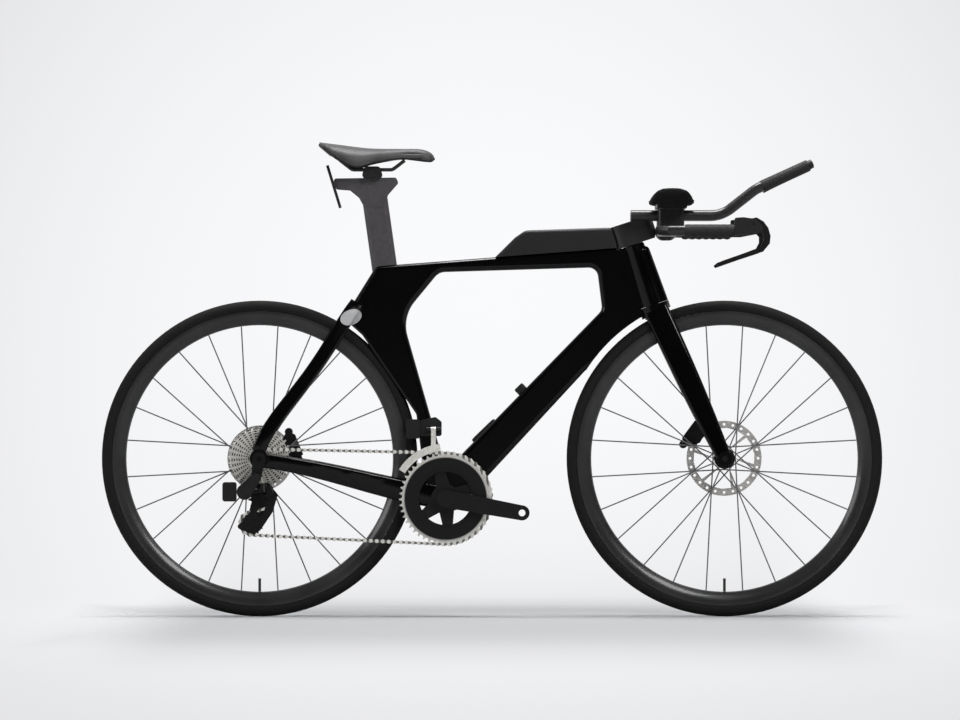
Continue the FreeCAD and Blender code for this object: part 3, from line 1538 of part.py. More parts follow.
def make_saddle_clamp(head):
    """A block astride the post's head that holds both rails."""
    base = head + vec(s.clamp_ahead, 0, s.clamp_bottom)
    half = s.clamp_length / 2
    top = s.clamp_height
    inset = top * CLAMP_INSET_SHARE
    corners = (vec(-half, 0, 0), vec(half, 0, 0), vec(half - inset, 0, top), vec(-half + inset, 0, top))
    wire = rounded_outline([(base + corner, inset) for corner in corners])
    block = slab(wire, -s.clamp_width / 2, s.clamp_width / 2)
    for side in (LEFT, RIGHT):
        spot = vec(base.x - half - s.cut_overrun, side * s.rail_spacing / 2, head.z + s.rail_height)
        reach = vec(s.clamp_length + 2 * s.cut_overrun, 0, 0)
        block = block.cut(rod(spot, spot + reach, s.rail_diameter / 2 + s.fit_clearance))
    seat = post_head(head + vec(0, 0, s.fit_clearance), s.fit_clearance)
    as_node(feature("saddle_clamp", block.cut(seat)), "saddle_clamp")


def cover_section(station, half_width, bottom, top):
    """A padded section: flat below, drawn-in sides and a crowned top."""
    edge, belly, shoulder, shoulder_up = SADDLE_SIDE_SHARES
    height = top - bottom

    def at(width_share, height_share):
        return vec(station, width_share * half_width, bottom + height_share * height)

    left = Part.Arc(at(edge, 0), at(1, belly), at(shoulder, shoulder_up)).toShape()
    crown = Part.Arc(at(shoulder, shoulder_up), at(0, 1), at(-shoulder, shoulder_up)).toShape()
    right = Part.Arc(at(-shoulder, shoulder_up), at(-1, belly), at(-edge, 0)).toShape()
    base = Part.LineSegment(at(-edge, 0), at(edge, 0)).toShape()
    return Part.Wire([left, crown, right, base])


def shell_section(station, half_width, bottom, top):
    """A flat section under the padding, narrower below."""
    edge = SADDLE_SIDE_SHARES[0] * half_width
    foot = edge * SHELL_FOOT_SHARE
    corners = (vec(station, edge, top), vec(station, foot, bottom), vec(station, -foot, bottom),
               vec(station, -edge, top))
    return straight_wire(corners)


def make_saddle(head):
    """The hard shell and the padded cover on it, which has a long channel in the middle."""
    tail = head.x - s.saddle_tail
    base = head.z + s.rail_height
    covers = []
    shells = []
    for along, half_share, top_share, bottom_share in SADDLE_SHARES:
        station = tail + along * s.saddle_length
        half = half_share * s.saddle_width
        bottom = base + bottom_share * s.saddle_height
        top = base + top_share * s.saddle_height
        split = bottom + s.saddle_shell_height * (top - bottom) / s.saddle_height
        covers.append(cover_section(station, half, split + s.fit_clearance, top))
        shells.append(shell_section(station, half, bottom, split))
    length = s.channel_length
    width = s.channel_width
    middle = vec(tail + s.saddle_length / 2, 0, base + s.saddle_height)
    groove = section(middle, X_AXIS, Y_AXIS, length, width, CHANNEL_ROUND_SHARE)
    level = base + s.saddle_height * SADDLE_SHARES[3][2] - s.channel_depth
    groove.translate(vec(0, 0, level - middle.z))
    cutter = Part.Face(groove).extrude(vec(0, 0, s.saddle_height))
    shell = loft(shells, True)
    as_node(feature("saddle_shell", shell), "saddle_shell")
    as_node(feature("saddle_cover", loft(covers).cut(cutter).cut(shell)), "saddle_cover")


def make_number_bracket(head):
    """A narrow plate behind the post's head, with two holes for a race number."""
    lean = math.radians(s.bracket_angle)
    up = vec(-math.cos(lean), 0, math.sin(lean))
    ahead = vec(math.sin(lean), 0, math.cos(lean))
    rear_share, top_share = POST_HEAD_SHARES[0]
    contact = head + vec(rear_share * s.head_length, 0, top_share * s.head_height)
    back = contact - ahead * (s.seat_gap + s.bracket_thickness) + up * (s.bracket_length * BRACKET_RAISE_SHARE)
    roundness = s.bracket_radius / (s.bracket_width / 2)
    wire = section(back, Y_AXIS, up, s.bracket_width, s.bracket_length, roundness)
    plate = Part.Face(wire).extrude(ahead * s.bracket_thickness)
    for end in (1, -1):
        spot = back + up * (end * s.bracket_hole_spacing / 2) - ahead * s.cut_overrun
        reach = ahead * (s.bracket_thickness + 2 * s.cut_overrun)
        plate = plate.cut(rod(spot, spot + reach, s.bracket_hole_diameter / 2))
    as_node(feature("number_plate_bracket", plate), "number_plate_bracket")


def make_seat(post):
    """Seat post, clamp, rails, saddle and race number bracket."""
    head = make_seatpost(post)
    make_saddle_clamp(head)
    make_rails(head)
    make_saddle(head)
    make_number_bracket(head)


class Bars:
    """The places of the base bar, the grips and the extensions, counted from the top of the head tube."""

    def __init__(self, layout):
        self.ahead = layout.head_top.x + s.bar_forward_offset
        self.height = layout.head_top.z + s.bar_height_offset
        self.grip = self.ahead + s.bar_bend + s.grip_inset_length
        self.grip_end = self.grip + s.grip_length
        self.level = self.height + s.extension_height_offset
        self.rear = self.ahead - s.extension_rear_length
        self.front = self.ahead + s.extension_front_length
        self.knee = vec(self.front + s.knee_forward_offset, 0, self.level + s.knee_height_offset)
        self.tip = self.knee + vec(s.tip_forward_offset, 0, s.tip_height_offset)
        self.riser_top = self.level + s.extension_diameter / 2 + s.riser_cap_thickness


def make_storage_box(layout):
    """The box on the top tube, hollowed in front so that the stem can turn."""
    first, second = PANEL_SHARES[0], PANEL_SHARES[1]
    slope = (second[1] - first[1]) / (second[0] - first[0])
    front_share = BOX_SHARES[-1][0] + BOX_NOSE_SHARE
    rear, front = [layout.frame_point(share, first[1] + slope * (share - first[0])) + Z_AXIS * s.fit_clearance
                   for share in (BOX_REAR_SHARE, front_share)]
    corners = [(rear, 0)]
    corners.extend((layout.frame_point(x, z), share * s.frame_reach) for x, z, share in BOX_SHARES)
    nose = layout.frame_point(front_share, BOX_SHARES[-1][1])
    corners[-1] = (nose, 0)
    corners.append((front, 0))
    half = s.box_width / 2
    shape = slab(rounded_outline(corners), -half, half)
    upper = [edge for edge in side_edges(shape, half) if edge.BoundBox.ZMax > front.z + s.box_edge_radius]
    shape = shape.makeFillet(s.box_edge_radius, upper)
    room = steer_cylinder(layout, s.box_front_radius, -s.stem_height, s.stem_height * 2)
    as_node(feature("storage_box", shape.cut(room)), "storage_box")


def make_stem(layout, bars):
    """The block on top of the steerer, round behind and flat in front where it takes the base bar."""
    bottom = s.headset_cover_height + s.seat_gap
    depth = s.stem_rear + s.stem_front
    middle = (s.stem_front - s.stem_rear) / 2
    wires = []
    for height in (bottom, bottom + s.stem_height):
        wires.append(section(layout.steer(height, middle), Y_AXIS, layout.steer_ahead, s.stem_width, depth,
                             STEM_ROUND_SHARE))
    shape = loft(wires, True)
    bore = steer_cylinder(layout, s.steerer_diameter / 2 + s.fit_clearance, 0, s.steerer_height + s.seat_gap)
    face = bars.ahead - s.bar_chord / 2 - s.fit_clearance
    front = Part.makeBox(s.stem_front, s.stem_width * 2, s.stem_height * 2,
                         vec(face, -s.stem_width, layout.head_top.z))
    as_node(feature("stem", shape.cut(bore).cut(front)), "stem")


def bar_half(bars, side):
    """One half of the base bar: a flat wing that bends forward into a round tube."""
    end = s.bar_spacing / 2
    bend = s.bar_bend
    flat = s.bar_thickness
    rows = (
        (0, 0, 0, s.bar_chord, s.bar_centre_thickness),
        (s.bar_centre_width / 2, 0, 0, s.bar_chord, s.bar_centre_thickness),
        (s.bar_centre_width / 2 + flat / 2, 0, 0, s.bar_chord, flat),
        (end - 2 * bend, 0, 0, s.bar_chord * BAR_TAPER_SHARE, flat),
        (end - bend * BAR_BEND_SHARE, bend * BAR_BEND_SHARE, 45, s.bar_tube_diameter * BAR_KNEE_SHARE, flat),
        (end, bend, 90, s.bar_tube_diameter, s.bar_tube_diameter),
    )
    wires = []
    for left, ahead, turn, chord, thickness in rows:
        angle = math.radians(turn)
        across = vec(math.cos(angle), -side * math.sin(angle), 0)
        centre = vec(bars.ahead + ahead, side * left, bars.height)
        wires.append(section(centre, across, Z_AXIS, chord, thickness, BAR_ROUND_SHARE))
    start = vec(bars.ahead + bend, side * end, bars.height)
    tip = vec(bars.grip_end, side * end, bars.height)
    plug = rod(tip, tip + X_AXIS * s.bar_plug_length, s.bar_plug_diameter / 2)
    return fuse_all([loft(wires, True), rod(start, tip, s.bar_tube_diameter / 2), plug])


def make_base_bar(bars):
    as_node(feature("base_bar", fuse_all([bar_half(bars, LEFT), bar_half(bars, RIGHT)])), "base_bar")


def make_grips(bars):
    """Rubber grips on both ends of the base bar, with a collar at each end."""
    inner = "bar_tube_diameter/2 + fit_clearance"
    outer = "grip_diameter/2"
    groove = "grip_diameter/2 - grip_collar/3"
    end = "grip_length - seat_gap"
    profile = [(inner, "0"), (outer, "0"), (outer, "grip_collar")]
    step = f"(grip_length - 2*grip_collar)/{GRIP_RIBS}"
    for index in range(GRIP_RIBS):
        profile.append((groove, f"grip_collar + {step}*({index} + 1/2)"))
        profile.append((outer, f"grip_collar + {step}*({index} + 1)"))
    profile.extend([(outer, end), (inner, end)])
    grip = turned("left_grip", profile)
    place(grip, vec(bars.grip, s.bar_spacing / 2, bars.height), X_AXIS)
    pair("bar_grips", grip)


def lever_origin(bars):
    """The rear lower corner of the brake lever housing on its middle plane."""
    return vec(bars.grip_end, 0, bars.height - s.lever_housing_height * HOUSING_BELOW_SHARE)


def lever_pivot(bars, side):
    base = vec(bars.grip_end + s.lever_pivot_ahead, 0, bars.height + s.lever_pivot_up)
    return base + Y_AXIS * (side * s.bar_spacing / 2)


def lever_housing(bars):
    """The left housing on the bar's end, slotted for the blade and bored for its pin."""
    origin = lever_origin(bars)
    middle = s.bar_spacing / 2
    half = s.lever_housing_width / 2
    corners = []
    for x, z, share in HOUSING_SHARES:
        point = origin + vec(x * s.lever_housing_length, 0, z * s.lever_housing_height)
        corners.append((point, share * s.lever_housing_height))
    block = slab(rounded_outline(corners), middle - half, middle + half)
    pivot = lever_pivot(bars, LEFT)
    slot_half = s.lever_width / 2 + s.lever_slot_clearance
    slot_start = pivot.x - s.lever_length * SLOT_BACK_SHARE
    slot = Part.makeBox(s.lever_housing_length, 2 * slot_half, 3 * s.lever_housing_height,
                        vec(slot_start, middle - slot_half, pivot.z - 2 * s.lever_housing_height))
    pin = across_cylinder(vec(pivot.x, 0, pivot.z), s.lever_pin_diameter / 2 + s.fit_clearance, middle - 2 * half,
                          middle + 2 * half)
    start = vec(bars.grip, middle, bars.height)
    tip = vec(origin.x + s.bar_plug_length + s.seat_gap, middle, bars.height)
    return block.cut(slot).cut(pin).cut(rod(start, tip, s.bar_plug_diameter / 2 + s.fit_clearance))


def lever_blade(bars, side):
    """A hooked blade that turns on a pin through the housing."""
    pivot = lever_pivot(bars, side)
    wire = shares_outline(vec(pivot.x, 0, pivot.z), X_AXIS, Z_AXIS, LEVER_SHARES, s.lever_length, s.lever_drop,
                          LEVER_ROUND_SHARE)
    half = s.lever_width / 2
    blade = slab(wire, pivot.y - half, pivot.y + half)
    pin_half = s.lever_housing_width / 2
    pin = across_cylinder(vec(pivot.x, 0, pivot.z), s.lever_pin_diameter / 2, pivot.y - pin_half, pivot.y + pin_half)
    return fuse_all([blade, pin])


def make_levers(bars):
    pair("brake_lever_housings", feature("left_housing", lever_housing(bars)))
    for side, name in ((LEFT, "brake_lever_left"), (RIGHT, "brake_lever_right")):
        as_node(feature(name, lever_blade(bars, side)), name)


def extension_corners(bars, left):
    """The corners of one extension bar's middle line, from its rear end to its tip."""
    radius = s.extension_bend_radius
    return [
        (vec(bars.rear, left, bars.level), 0),
        (vec(bars.front, left, bars.level), radius),
        (bars.knee + Y_AXIS * left, radius),
        (bars.tip + Y_AXIS * left, 0),
    ]


def make_extensions(bars):
    """The two extension bars, their rubber sleeves and the button in each tip."""
    left = s.extension_spacing / 2
    corners = extension_corners(bars, left)
    knee, tip = corners[-2][0], corners[-1][0]
    heading = (tip - knee).normalize()
    radius = s.extension_diameter / 2
    stem_radius = s.button_stem_diameter / 2
    room = s.button_stem_length + s.button_travel + s.seat_gap
    bore = rod(tip - heading * room, tip + heading * s.cut_overrun, stem_radius + s.fit_clearance)
    bar = tube_along(rounded_path(corners), radius).cut(bore)
    pair("extensions", feature("left_extension", bar))
    start = tip - heading * s.extension_sleeve_length
    sleeve = rod(start, tip, radius + s.extension_sleeve_wall).cut(
        rod(start - heading, tip + heading, radius + s.fit_clearance))
    pair("extension_grips", feature("left_sleeve", sleeve))
    face = tip + heading * (s.button_travel + s.seat_gap)
    cap = rod(face, face + heading * s.button_length, s.button_diameter / 2)
    crown = Part.makeCone(s.button_diameter / 2, s.button_stem_diameter / 2, s.button_stem_diameter / 4,
                          face + heading * s.button_length, heading)
    stem = rod(tip - heading * s.button_stem_length, face, stem_radius)
    button = feature("shift_button_left_shape", fuse_all([cap, crown, stem]))
    as_node(mirrored("shift_button_right", button), "shift_button_right")
    as_node(button, "shift_button_left")


def bar_block(ahead_middle, length, left, width, low, high, roundness):
    """An upright block with rounded corners, seen from above."""
    wire = section(vec(ahead_middle, left, low), X_AXIS, Y_AXIS, length, width, roundness)
    return Part.Face(wire).extrude(vec(0, 0, high - low))


def arm_pad(bars, left, bottom):
    """A soft pad with a crown in its length and a trough across for the forearm."""
    wires = []
    half = s.pad_length / 2
    for offset, length_share, height_share in PAD_SHARES:
        side = left + offset * s.pad_width
        reach = half * length_share
        top = bottom + s.pad_height * height_share
        rear = vec(bars.ahead + PAD_AHEAD_SHARE * s.pad_length - reach, side, bottom)
        front = vec(rear.x + 2 * reach, side, bottom)
        crest = vec((rear.x + front.x) / 2, side, top)
        wires.append(Part.Wire([Part.Arc(rear, crest, front).toShape(), Part.LineSegment(front, rear).toShape()]))
    return loft(wires)


def make_arm_rests(bars):
    """Risers that clamp the extensions to the base bar, with cups and pads on them."""
    left = s.extension_spacing / 2
    low = bars.height + s.bar_thickness / 2 + s.seat_gap
    middle = bars.ahead + s.bar_chord * RISER_AHEAD_SHARE
    riser = bar_block(middle, s.riser_length, left, s.riser_width, low, bars.riser_top, RISER_ROUND_SHARE)
    start = vec(bars.rear, left, bars.level)
    bore = rod(start, vec(bars.front, left, bars.level), s.extension_diameter / 2 + s.fit_clearance)
    pair("extension_clamps", feature("left_riser", riser.cut(bore)))
    cup_left = s.cup_spacing / 2
    bottom = bars.riser_top + s.fit_clearance
    top = bottom + s.cup_height
    cup = bar_block(middle, s.cup_length, cup_left, s.cup_width, bottom, top, CUP_ROUND_SHARE)
    pair("arm_pad_cups", feature("left_cup_plate", cup))
    pair("arm_pads", feature("left_pad", arm_pad(bars, cup_left, top + s.seat_gap)))


def make_cockpit(layout):
    """Everything that turns with the fork above the head tube, and the storage box behind it."""
    bars = Bars(layout)
    make_storage_box(layout)
    make_stem(layout, bars)
    make_base_bar(bars)
    make_grips(bars)
    make_levers(bars)
    make_extensions(bars)
    make_arm_rests(bars)


def make_caliper(name, axle, offset, degrees, rotor, holder):
    """A caliper astride its rotor, seated on the frame or fork by two posts."""
    radial = polar(ORIGIN, 1, degrees)
    along = vec(-radial.z, 0, radial.x)
    middle = axle + radial * (rotor / 2 + s.caliper_rise_height)
    wire = shares_outline(middle, along, radial, CALIPER_SHARES, s.caliper_length, s.caliper_height,
                          CALIPER_ROUND_SHARE)
    block = slab(wire, offset - s.caliper_inner_half_width, offset + s.caliper_half_width)
    half = s.caliper_slot_half_width
    post_left = offset + (half + s.caliper_half_width) / 2
    run, rise = CALIPER_FITTING_SHARES
    fitting = middle + along * (run * s.caliper_length) + radial * (rise * s.caliper_height)
    pieces = [block, across_cylinder(fitting, s.caliper_fitting_diameter / 2, offset - s.caliper_inner_half_width,
                                     offset + s.caliper_half_width)]
    for run, rise in CALIPER_POST_SHARES:
        start = middle + along * (run * s.caliper_length) + radial * (rise * s.caliper_height) + Y_AXIS * post_left
        pieces.append(rod(start, start - along * s.caliper_post_length, s.caliper_post_diameter / 2))
    slot = across_cylinder(axle, rotor / 2 + s.caliper_stand_off, offset - half, offset + half)
    as_node(feature(name, fuse_all(pieces).cut(slot).cut(holder)), name)


def make_brake_pads(name, axle, offset, degrees, rotor):
    """The two pads of one brake, a small air gap away from the rotor."""
    radial = polar(ORIGIN, 1, degrees)
    along = vec(-radial.z, 0, radial.x)
    depth_share, round_share = BRAKE_PAD_SHARES
    depth = s.pad_side * depth_share
    middle = axle + radial * (rotor / 2 - depth / 2)
    wire = section(middle, along, radial, s.pad_side, depth, round_share)
    near = s.rotor_thickness / 2 + s.pad_air_gap
    far = near + s.pad_thickness
    as_node(feature(f"{name}_left", slab(wire, offset + near, offset + far)), f"{name}_left")
    as_node(feature(f"{name}_right", slab(wire, offset - far, offset - near)), f"{name}_right")


def make_brakes(layout):
    """Both disc brakes, on the left side."""
    blade = fork_blade(layout, LEFT, s.fit_clearance)
    chainstay = stay(layout, CHAINSTAY_SHARES, s.chainstay_depth, LEFT, s.fit_clearance)
    front = (layout.front_axle, s.front_rotor_offset, s.front_caliper_angle, s.front_rotor_diameter)
    rear = (layout.rear_axle, s.rear_rotor_offset, s.rear_caliper_angle, s.rear_rotor_diameter)
    make_caliper("front_brake_caliper", *front, blade)
    make_caliper("rear_brake_caliper", *rear, chainstay)
    make_brake_pads("front_brake_pad", *front)
    make_brake_pads("rear_brake_pad", *rear)


class ShiftLink:
    """The slanted link of the rear derailleur: its axis, its swing plane and both of its pivots."""

    def __init__(self, layout):
        slant = math.radians(s.knuckle_slant)
        lean = math.radians(s.shift_link_lean)
        self.axis = vec(0, math.sin(slant), math.cos(slant))
        self.inward = vec(0, math.cos(slant), -math.sin(slant))
        self.heading = X_AXIS * math.cos(lean) + self.inward * math.sin(lean)
        bolt = hanger_bolt(layout)
        face = knuckle_face() + s.hanger_thickness / 2
        self.rear = bolt + vec(-s.body_pivot_behind, face, -s.body_pivot_drop)
        self.front = self.rear + self.heading * s.shift_link_length

    def upright(self, pivot, radius, low, high):
        """A cylinder on one pivot's axis."""
        return Part.makeCylinder(radius, high - low, pivot + self.axis * low, self.axis)

    def lug(self, pivot):
        half = s.shift_lug_height / 2
        return self.upright(pivot, s.shift_lug_diameter / 2, -half, half)

    def pin_bore(self, pivot):
        half = s.shift_lug_height
        return self.upright(pivot, s.shift_pin_diameter / 2 + s.fit_clearance, -half, half)

    def levels(self, clearance):
        """Lower and upper limits of both link plates, with the same clearance outside each."""
        low = s.shift_lug_height / 2 + s.fit_clearance
        high = low + s.shift_link_plate + clearance
        return ((low, high), (-high, -low))

    def room(self, pivot, sense):
        """The space that the link plates sweep near one pivot, ahead of it or behind it."""
        reach = s.shift_link_length * sense
        half = s.shift_link_width / 2 + s.link_room
        tools = []
        for low, high in self.levels(s.link_room):
            tools.append(self.upright(pivot, half, low, high))
            corners = [(0, half), (reach, half + s.shift_link_length * LINK_ROOM_SHARES[0]),
                       (reach, -half - s.shift_link_length * LINK_ROOM_SHARES[1]), (0, -half)]
            points = [pivot + X_AXIS * x + self.inward * (sense * y) + self.axis * low for x, y in corners]
            tools.append(Part.Face(straight_wire(points)).extrude(self.axis * (high - low)))
        return tools

    def plates(self):
        """Both plates and the pin at each end, in one piece."""
        across = self.axis.cross(self.heading)
        middle = (self.rear + self.front) * (1 / 2)
        length = s.shift_link_length + s.shift_link_width
        pieces = []
        for low, high in self.levels(0):
            wire = section(middle + self.axis * low, self.heading, across, length, s.shift_link_width, LINK_ROUND_SHARE)
            pieces.append(Part.Face(wire).extrude(self.axis * (high - low)))
        reach = s.shift_lug_height / 2 + s.shift_link_plate
        for pivot in (self.rear, self.front):
            pieces.append(self.upright(pivot, s.shift_pin_diameter / 2, -reach, reach))
        return fuse_all(pieces)


def knuckle_face():
    """Lateral offset of the hanger's outer face."""
    return -s.rear_spacing / 2 - s.rear_dropout_thickness - 2 * s.fit_clearance - s.hanger_thickness


def cut_all(shape, tools):
    for tool in tools:
        shape = shape.cut(tool)
    return shape


def make_rear_knuckle(layout, link):
    """The fixed knuckle on the hanger, its bolt and the lug that the link turns on."""
    bolt = hanger_bolt(layout)
    outer = knuckle_face()
    pivot = vec(link.rear.x, 0, link.rear.z)
    wire = tapered_outline(pivot, s.knuckle_radius, bolt, s.hanger_radius)
    pieces = [
        slab(wire, outer - s.knuckle_depth, outer),
        across_cylinder(bolt, s.hanger_bolt_diameter / 2, outer - s.knuckle_depth / 2, outer + s.hanger_thickness),
        link.lug(link.rear),
    ]
    tools = link.room(link.rear, 1) + [link.pin_bore(link.rear)]
    as_node(feature("rear_derailleur_knuckle", cut_all(fuse_all(pieces), tools)), "rear_derailleur_knuckle")
    as_node(feature("rd_link", link.plates()), "rd_link")


def cage_pivot(layout):
    return layout.rear_axle + vec(s.cage_pivot_ahead, 0, -s.cage_pivot_drop)


def cage_faces():
    """Lateral offsets of the cage's outermost and innermost faces."""
    half = s.cage_gap / 2 + s.cage_plate_thickness
    return -s.first_cog_offset - half, -s.first_cog_offset + half


def make_cage_knuckle(layout, link):
    """The moving knuckle between the link and the cage's pivot."""
    pivot = cage_pivot(layout)
    inner = cage_faces()[0] - s.seat_gap
    outer = link.front.y
    barrel = across_cylinder(pivot, s.shift_lug_diameter * BARREL_SHARE, outer, inner)
    arm = across_cylinder(vec(link.front.x, 0, link.front.z) * (1 / 2) + pivot * (1 / 2), s.shift_lug_diameter / 2,
                          outer - s.shift_lug_diameter / 4, outer + s.shift_lug_diameter)
    bore = across_cylinder(pivot, s.cage_pivot_diameter / 2 + s.fit_clearance, inner - s.cage_pivot_length, 0)
    tools = link.room(link.front, -1) + [link.pin_bore(link.front), bore]
    shape = cut_all(fuse_all([barrel, arm, link.lug(link.front)]), tools)
    as_node(feature("rd_p_knuckle", shape), "rd_p_knuckle")


def make_cage(layout, loop):
    """Two plates held apart by the pulley bolts, and the pivot that turns in the knuckle."""
    guide, tension = loop.sprockets[2].centre, loop.sprockets[3].centre
    apart = guide.distanceToPoint(tension)
    outer, inner = cage_faces()
    plate = s.cage_plate_thickness
    pieces = []
    for table, low in ((CAGE_SHARES, outer), (INNER_CAGE_SHARES, inner - plate)):
        wire = shares_outline(guide, X_AXIS, Z_AXIS, table, apart, apart, CAGE_ROUND_SHARE)
        pieces.append(slab(wire, low, low + plate))
    for centre in (guide, tension):
        pieces.append(across_cylinder(centre, s.pulley_bolt_diameter / 2, outer, inner))
    reach = s.cage_pivot_length - s.seat_gap
    pieces.append(across_cylinder(cage_pivot(layout), s.cage_pivot_diameter / 2, outer - reach, outer + plate))
    window = shares_outline(guide, X_AXIS, Z_AXIS, CAGE_WINDOW_SHARES, apart, apart, CAGE_ROUND_SHARE / 2)
    as_node(feature("rd_cage", fuse_all(pieces).cut(slab(window, outer - plate, outer + 2 * plate))), "rd_cage")


def make_pulleys(loop):
    half = s.cage_gap / 2 - s.seat_gap
    for number, name in ((2, "guide_pulley"), (3, "tension_pulley")):
        wheel = loop.sprockets[number]
        low, high = wheel.lateral - half, wheel.lateral + half
        plate = toothed_plate(wheel, loop.seat_angle(number), s.pulley_thickness)
        hub = across_cylinder(wheel.centre, s.pulley_hub_diameter / 2, low, high)
        bore = across_cylinder(wheel.centre, s.pulley_bolt_diameter / 2 + s.fit_clearance, low - half, high + half)
        as_node(feature(name, fuse_all([plate, hub]).cut(bore)), name)


def arc_plate(centre, inner, outer, start, end, low, high):
    """A flat piece of a ring, from one bearing to another."""
    middle = (start + end) / 2
    ends = [polar(centre, radius, turn) for radius in (inner, outer) for turn in (start, end)]
    edges = [
        Part.Arc(ends[0], polar(centre, inner, middle), ends[1]).toShape(),
        Part.LineSegment(ends[1], ends[3]).toShape(),
        Part.Arc(ends[3], polar(centre, outer, middle), ends[2]).toShape(),
        Part.LineSegment(ends[2], ends[0]).toShape(),
    ]
    return slab(Part.Wire(edges), low, high)


def front_pivot(layout):
    return layout.crank + vec(-s.front_pivot_behind, -s.front_pivot_offset, s.front_pivot_rise)


def make_front_cage(layout):
    """Two curved plates over the big ring, joined at both ends, and the arm that they hang on."""
    crank = layout.crank
    ring = -s.big_ring_offset
    inner, outer = s.front_cage_inner_radius, s.front_cage_outer_radius
    start, end = s.front_cage_start, s.front_cage_end
    plate = s.front_cage_thickness
    low = ring - s.front_cage_outer_gap - plate
    high = ring + s.front_cage_inner_gap + plate
    turn = (end - start) * FRONT_BRIDGE_SHARE
    pivot = front_pivot(layout)
    half = s.front_arm_width / 2
    rise = s.front_pivot_rise - math.sqrt(outer ** 2 - (s.front_pivot_behind + half) ** 2) + plate
    arm = Part.makeBox(s.front_arm_width, s.front_arm_depth, rise,
                       pivot + vec(-half, -s.front_arm_depth / 2, -rise))
    eye = Part.makeCylinder(s.front_arm_depth / 2, s.front_arm_width, pivot - X_AXIS * half, X_AXIS)
    pin = Part.makeCylinder(s.front_pivot_diameter / 2, 3 * s.front_arm_width, pivot - X_AXIS * (3 * half), X_AXIS)
    pieces = [
        arc_plate(crank, inner, outer, start, end, low, low + plate),
        arc_plate(crank, inner, outer, start, end, high - plate, high),
        arc_plate(crank, outer - plate, outer, start, start + turn, low, high),
        arc_plate(crank, inner, inner + plate, end - turn / 2, end, low, high),
        arm, eye, pin,
    ]
    as_node(feature("fd_cage", fuse_all(pieces)), "fd_cage")


def make_front_body(layout):
    """The motor body on the seat tube, with a fork of two lugs for the cage's pin."""
    pivot = front_pivot(layout)
    half = s.front_arm_width / 2
    face = -s.frame_width / 2 - s.fit_clearance
    length, height = s.front_body_length, s.front_body_height
    wire = shares_outline(vec(pivot.x, 0, pivot.z), X_AXIS, Z_AXIS, FRONT_BODY_SHARES, length, height,
                          FRONT_BODY_ROUND_SHARE)
    pieces = [slab(wire, -s.front_body_outer, face)]
    for low in (-3 * half, half + s.seat_gap):
        thickness = 2 * half - s.seat_gap
        start = pivot + X_AXIS * low
        pieces.append(Part.makeCylinder(s.front_arm_depth / 2, thickness, start, X_AXIS))
        pieces.append(Part.makeBox(thickness, s.front_pivot_offset - s.front_body_outer + s.front_arm_depth / 2,
                                   s.front_arm_depth, start - Z_AXIS * (s.front_arm_depth / 2)))
    bore = Part.makeCylinder(s.front_pivot_diameter / 2 + s.fit_clearance, 4 * s.front_arm_width,
                             pivot - X_AXIS * (4 * half), X_AXIS)
    room = Part.makeCylinder(s.front_arm_depth / 2 + s.seat_gap, 2 * half + 2 * s.seat_gap,
                             pivot - X_AXIS * (half + s.seat_gap), X_AXIS)
    as_node(feature("front_derailleur_body", fuse_all(pieces).cut(bore).cut(room)), "front_derailleur_body")


def battery(name, corner, low):
    """One clip-on battery, its corners rounded in the side view."""
    middle = corner + vec(-s.battery_height / 2, 0, 0)
    wire = section(middle, X_AXIS, Z_AXIS, s.battery_height, s.battery_length, BATTERY_ROUND_SHARE)
    return feature(name, slab(wire, low, low + s.battery_width))


def make_batteries(layout, link):
    """The identical batteries of both derailleurs."""
    front = front_pivot(layout)
    outer = knuckle_face()
    behind = vec(link.rear.x - s.knuckle_radius - s.seat_gap, 0, link.rear.z)
    edge = front.x + FRONT_BODY_SHARES[0][0] * s.front_body_length - s.seat_gap
    over = vec(edge, 0, front.z)
    pieces = [battery("rear_battery", behind, outer - s.knuckle_depth),
              battery("front_battery", over, -s.frame_width / 2 - s.fit_clearance - s.battery_width)]
    as_node(grouped("derailleur_batteries", pieces), "derailleur_batteries")


def make_derailleurs(layout, loop):
    """Both derailleurs with their batteries and pulleys."""
    link = ShiftLink(layout)
    make_rear_knuckle(layout, link)
    make_cage_knuckle(layout, link)
    make_cage(layout, loop)
    make_pulleys(loop)
    make_front_cage(layout)
    make_front_body(layout)
    make_batteries(layout, link)


def check_document():
    """Stops if any object of the document failed or a sub-part has no sound shape."""
    doc.recompute()
    for obj in doc.Objects:
        if "Invalid" in obj.State or "Error" in obj.State:
            raise RuntimeError(f"{obj.Name} failed: {obj.State}")
    for node in nodes:
        if node.Shape.isNull() or not node.Shape.isValid():
            raise RuntimeError(f"{node.Label} has no valid shape")
        if not node.Shape.Solids:
            raise RuntimeError(f"{node.Label} holds no solid")


def write_parts():
    """One STEP file for each sub-part, named after it."""
    os.makedirs("parts", exist_ok=True)
    for node in nodes:
        node.Shape.exportStep(os.path.join("parts", f"{node.Label}.step"))


def main():
    fill_sheet()
    layout = Layout()
    make_wheels(layout)
    loop = make_drivetrain(layout)
    post = Post(layout)
    make_frame(layout, post)
    make_seatpost_clamp(post)
    make_hanger(layout)
    make_headset(layout)
    make_fork(layout)
    make_seat(post)
    make_cockpit(layout)
    make_brakes(layout)
    make_derailleurs(layout, loop)
    check_document()
    write_parts()


main()
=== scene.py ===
"""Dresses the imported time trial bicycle: finishes, soft and moulded pieces, light and camera."""

from __future__ import annotations

import json
import logging
import math
from dataclasses import dataclass, field
from enum import Enum

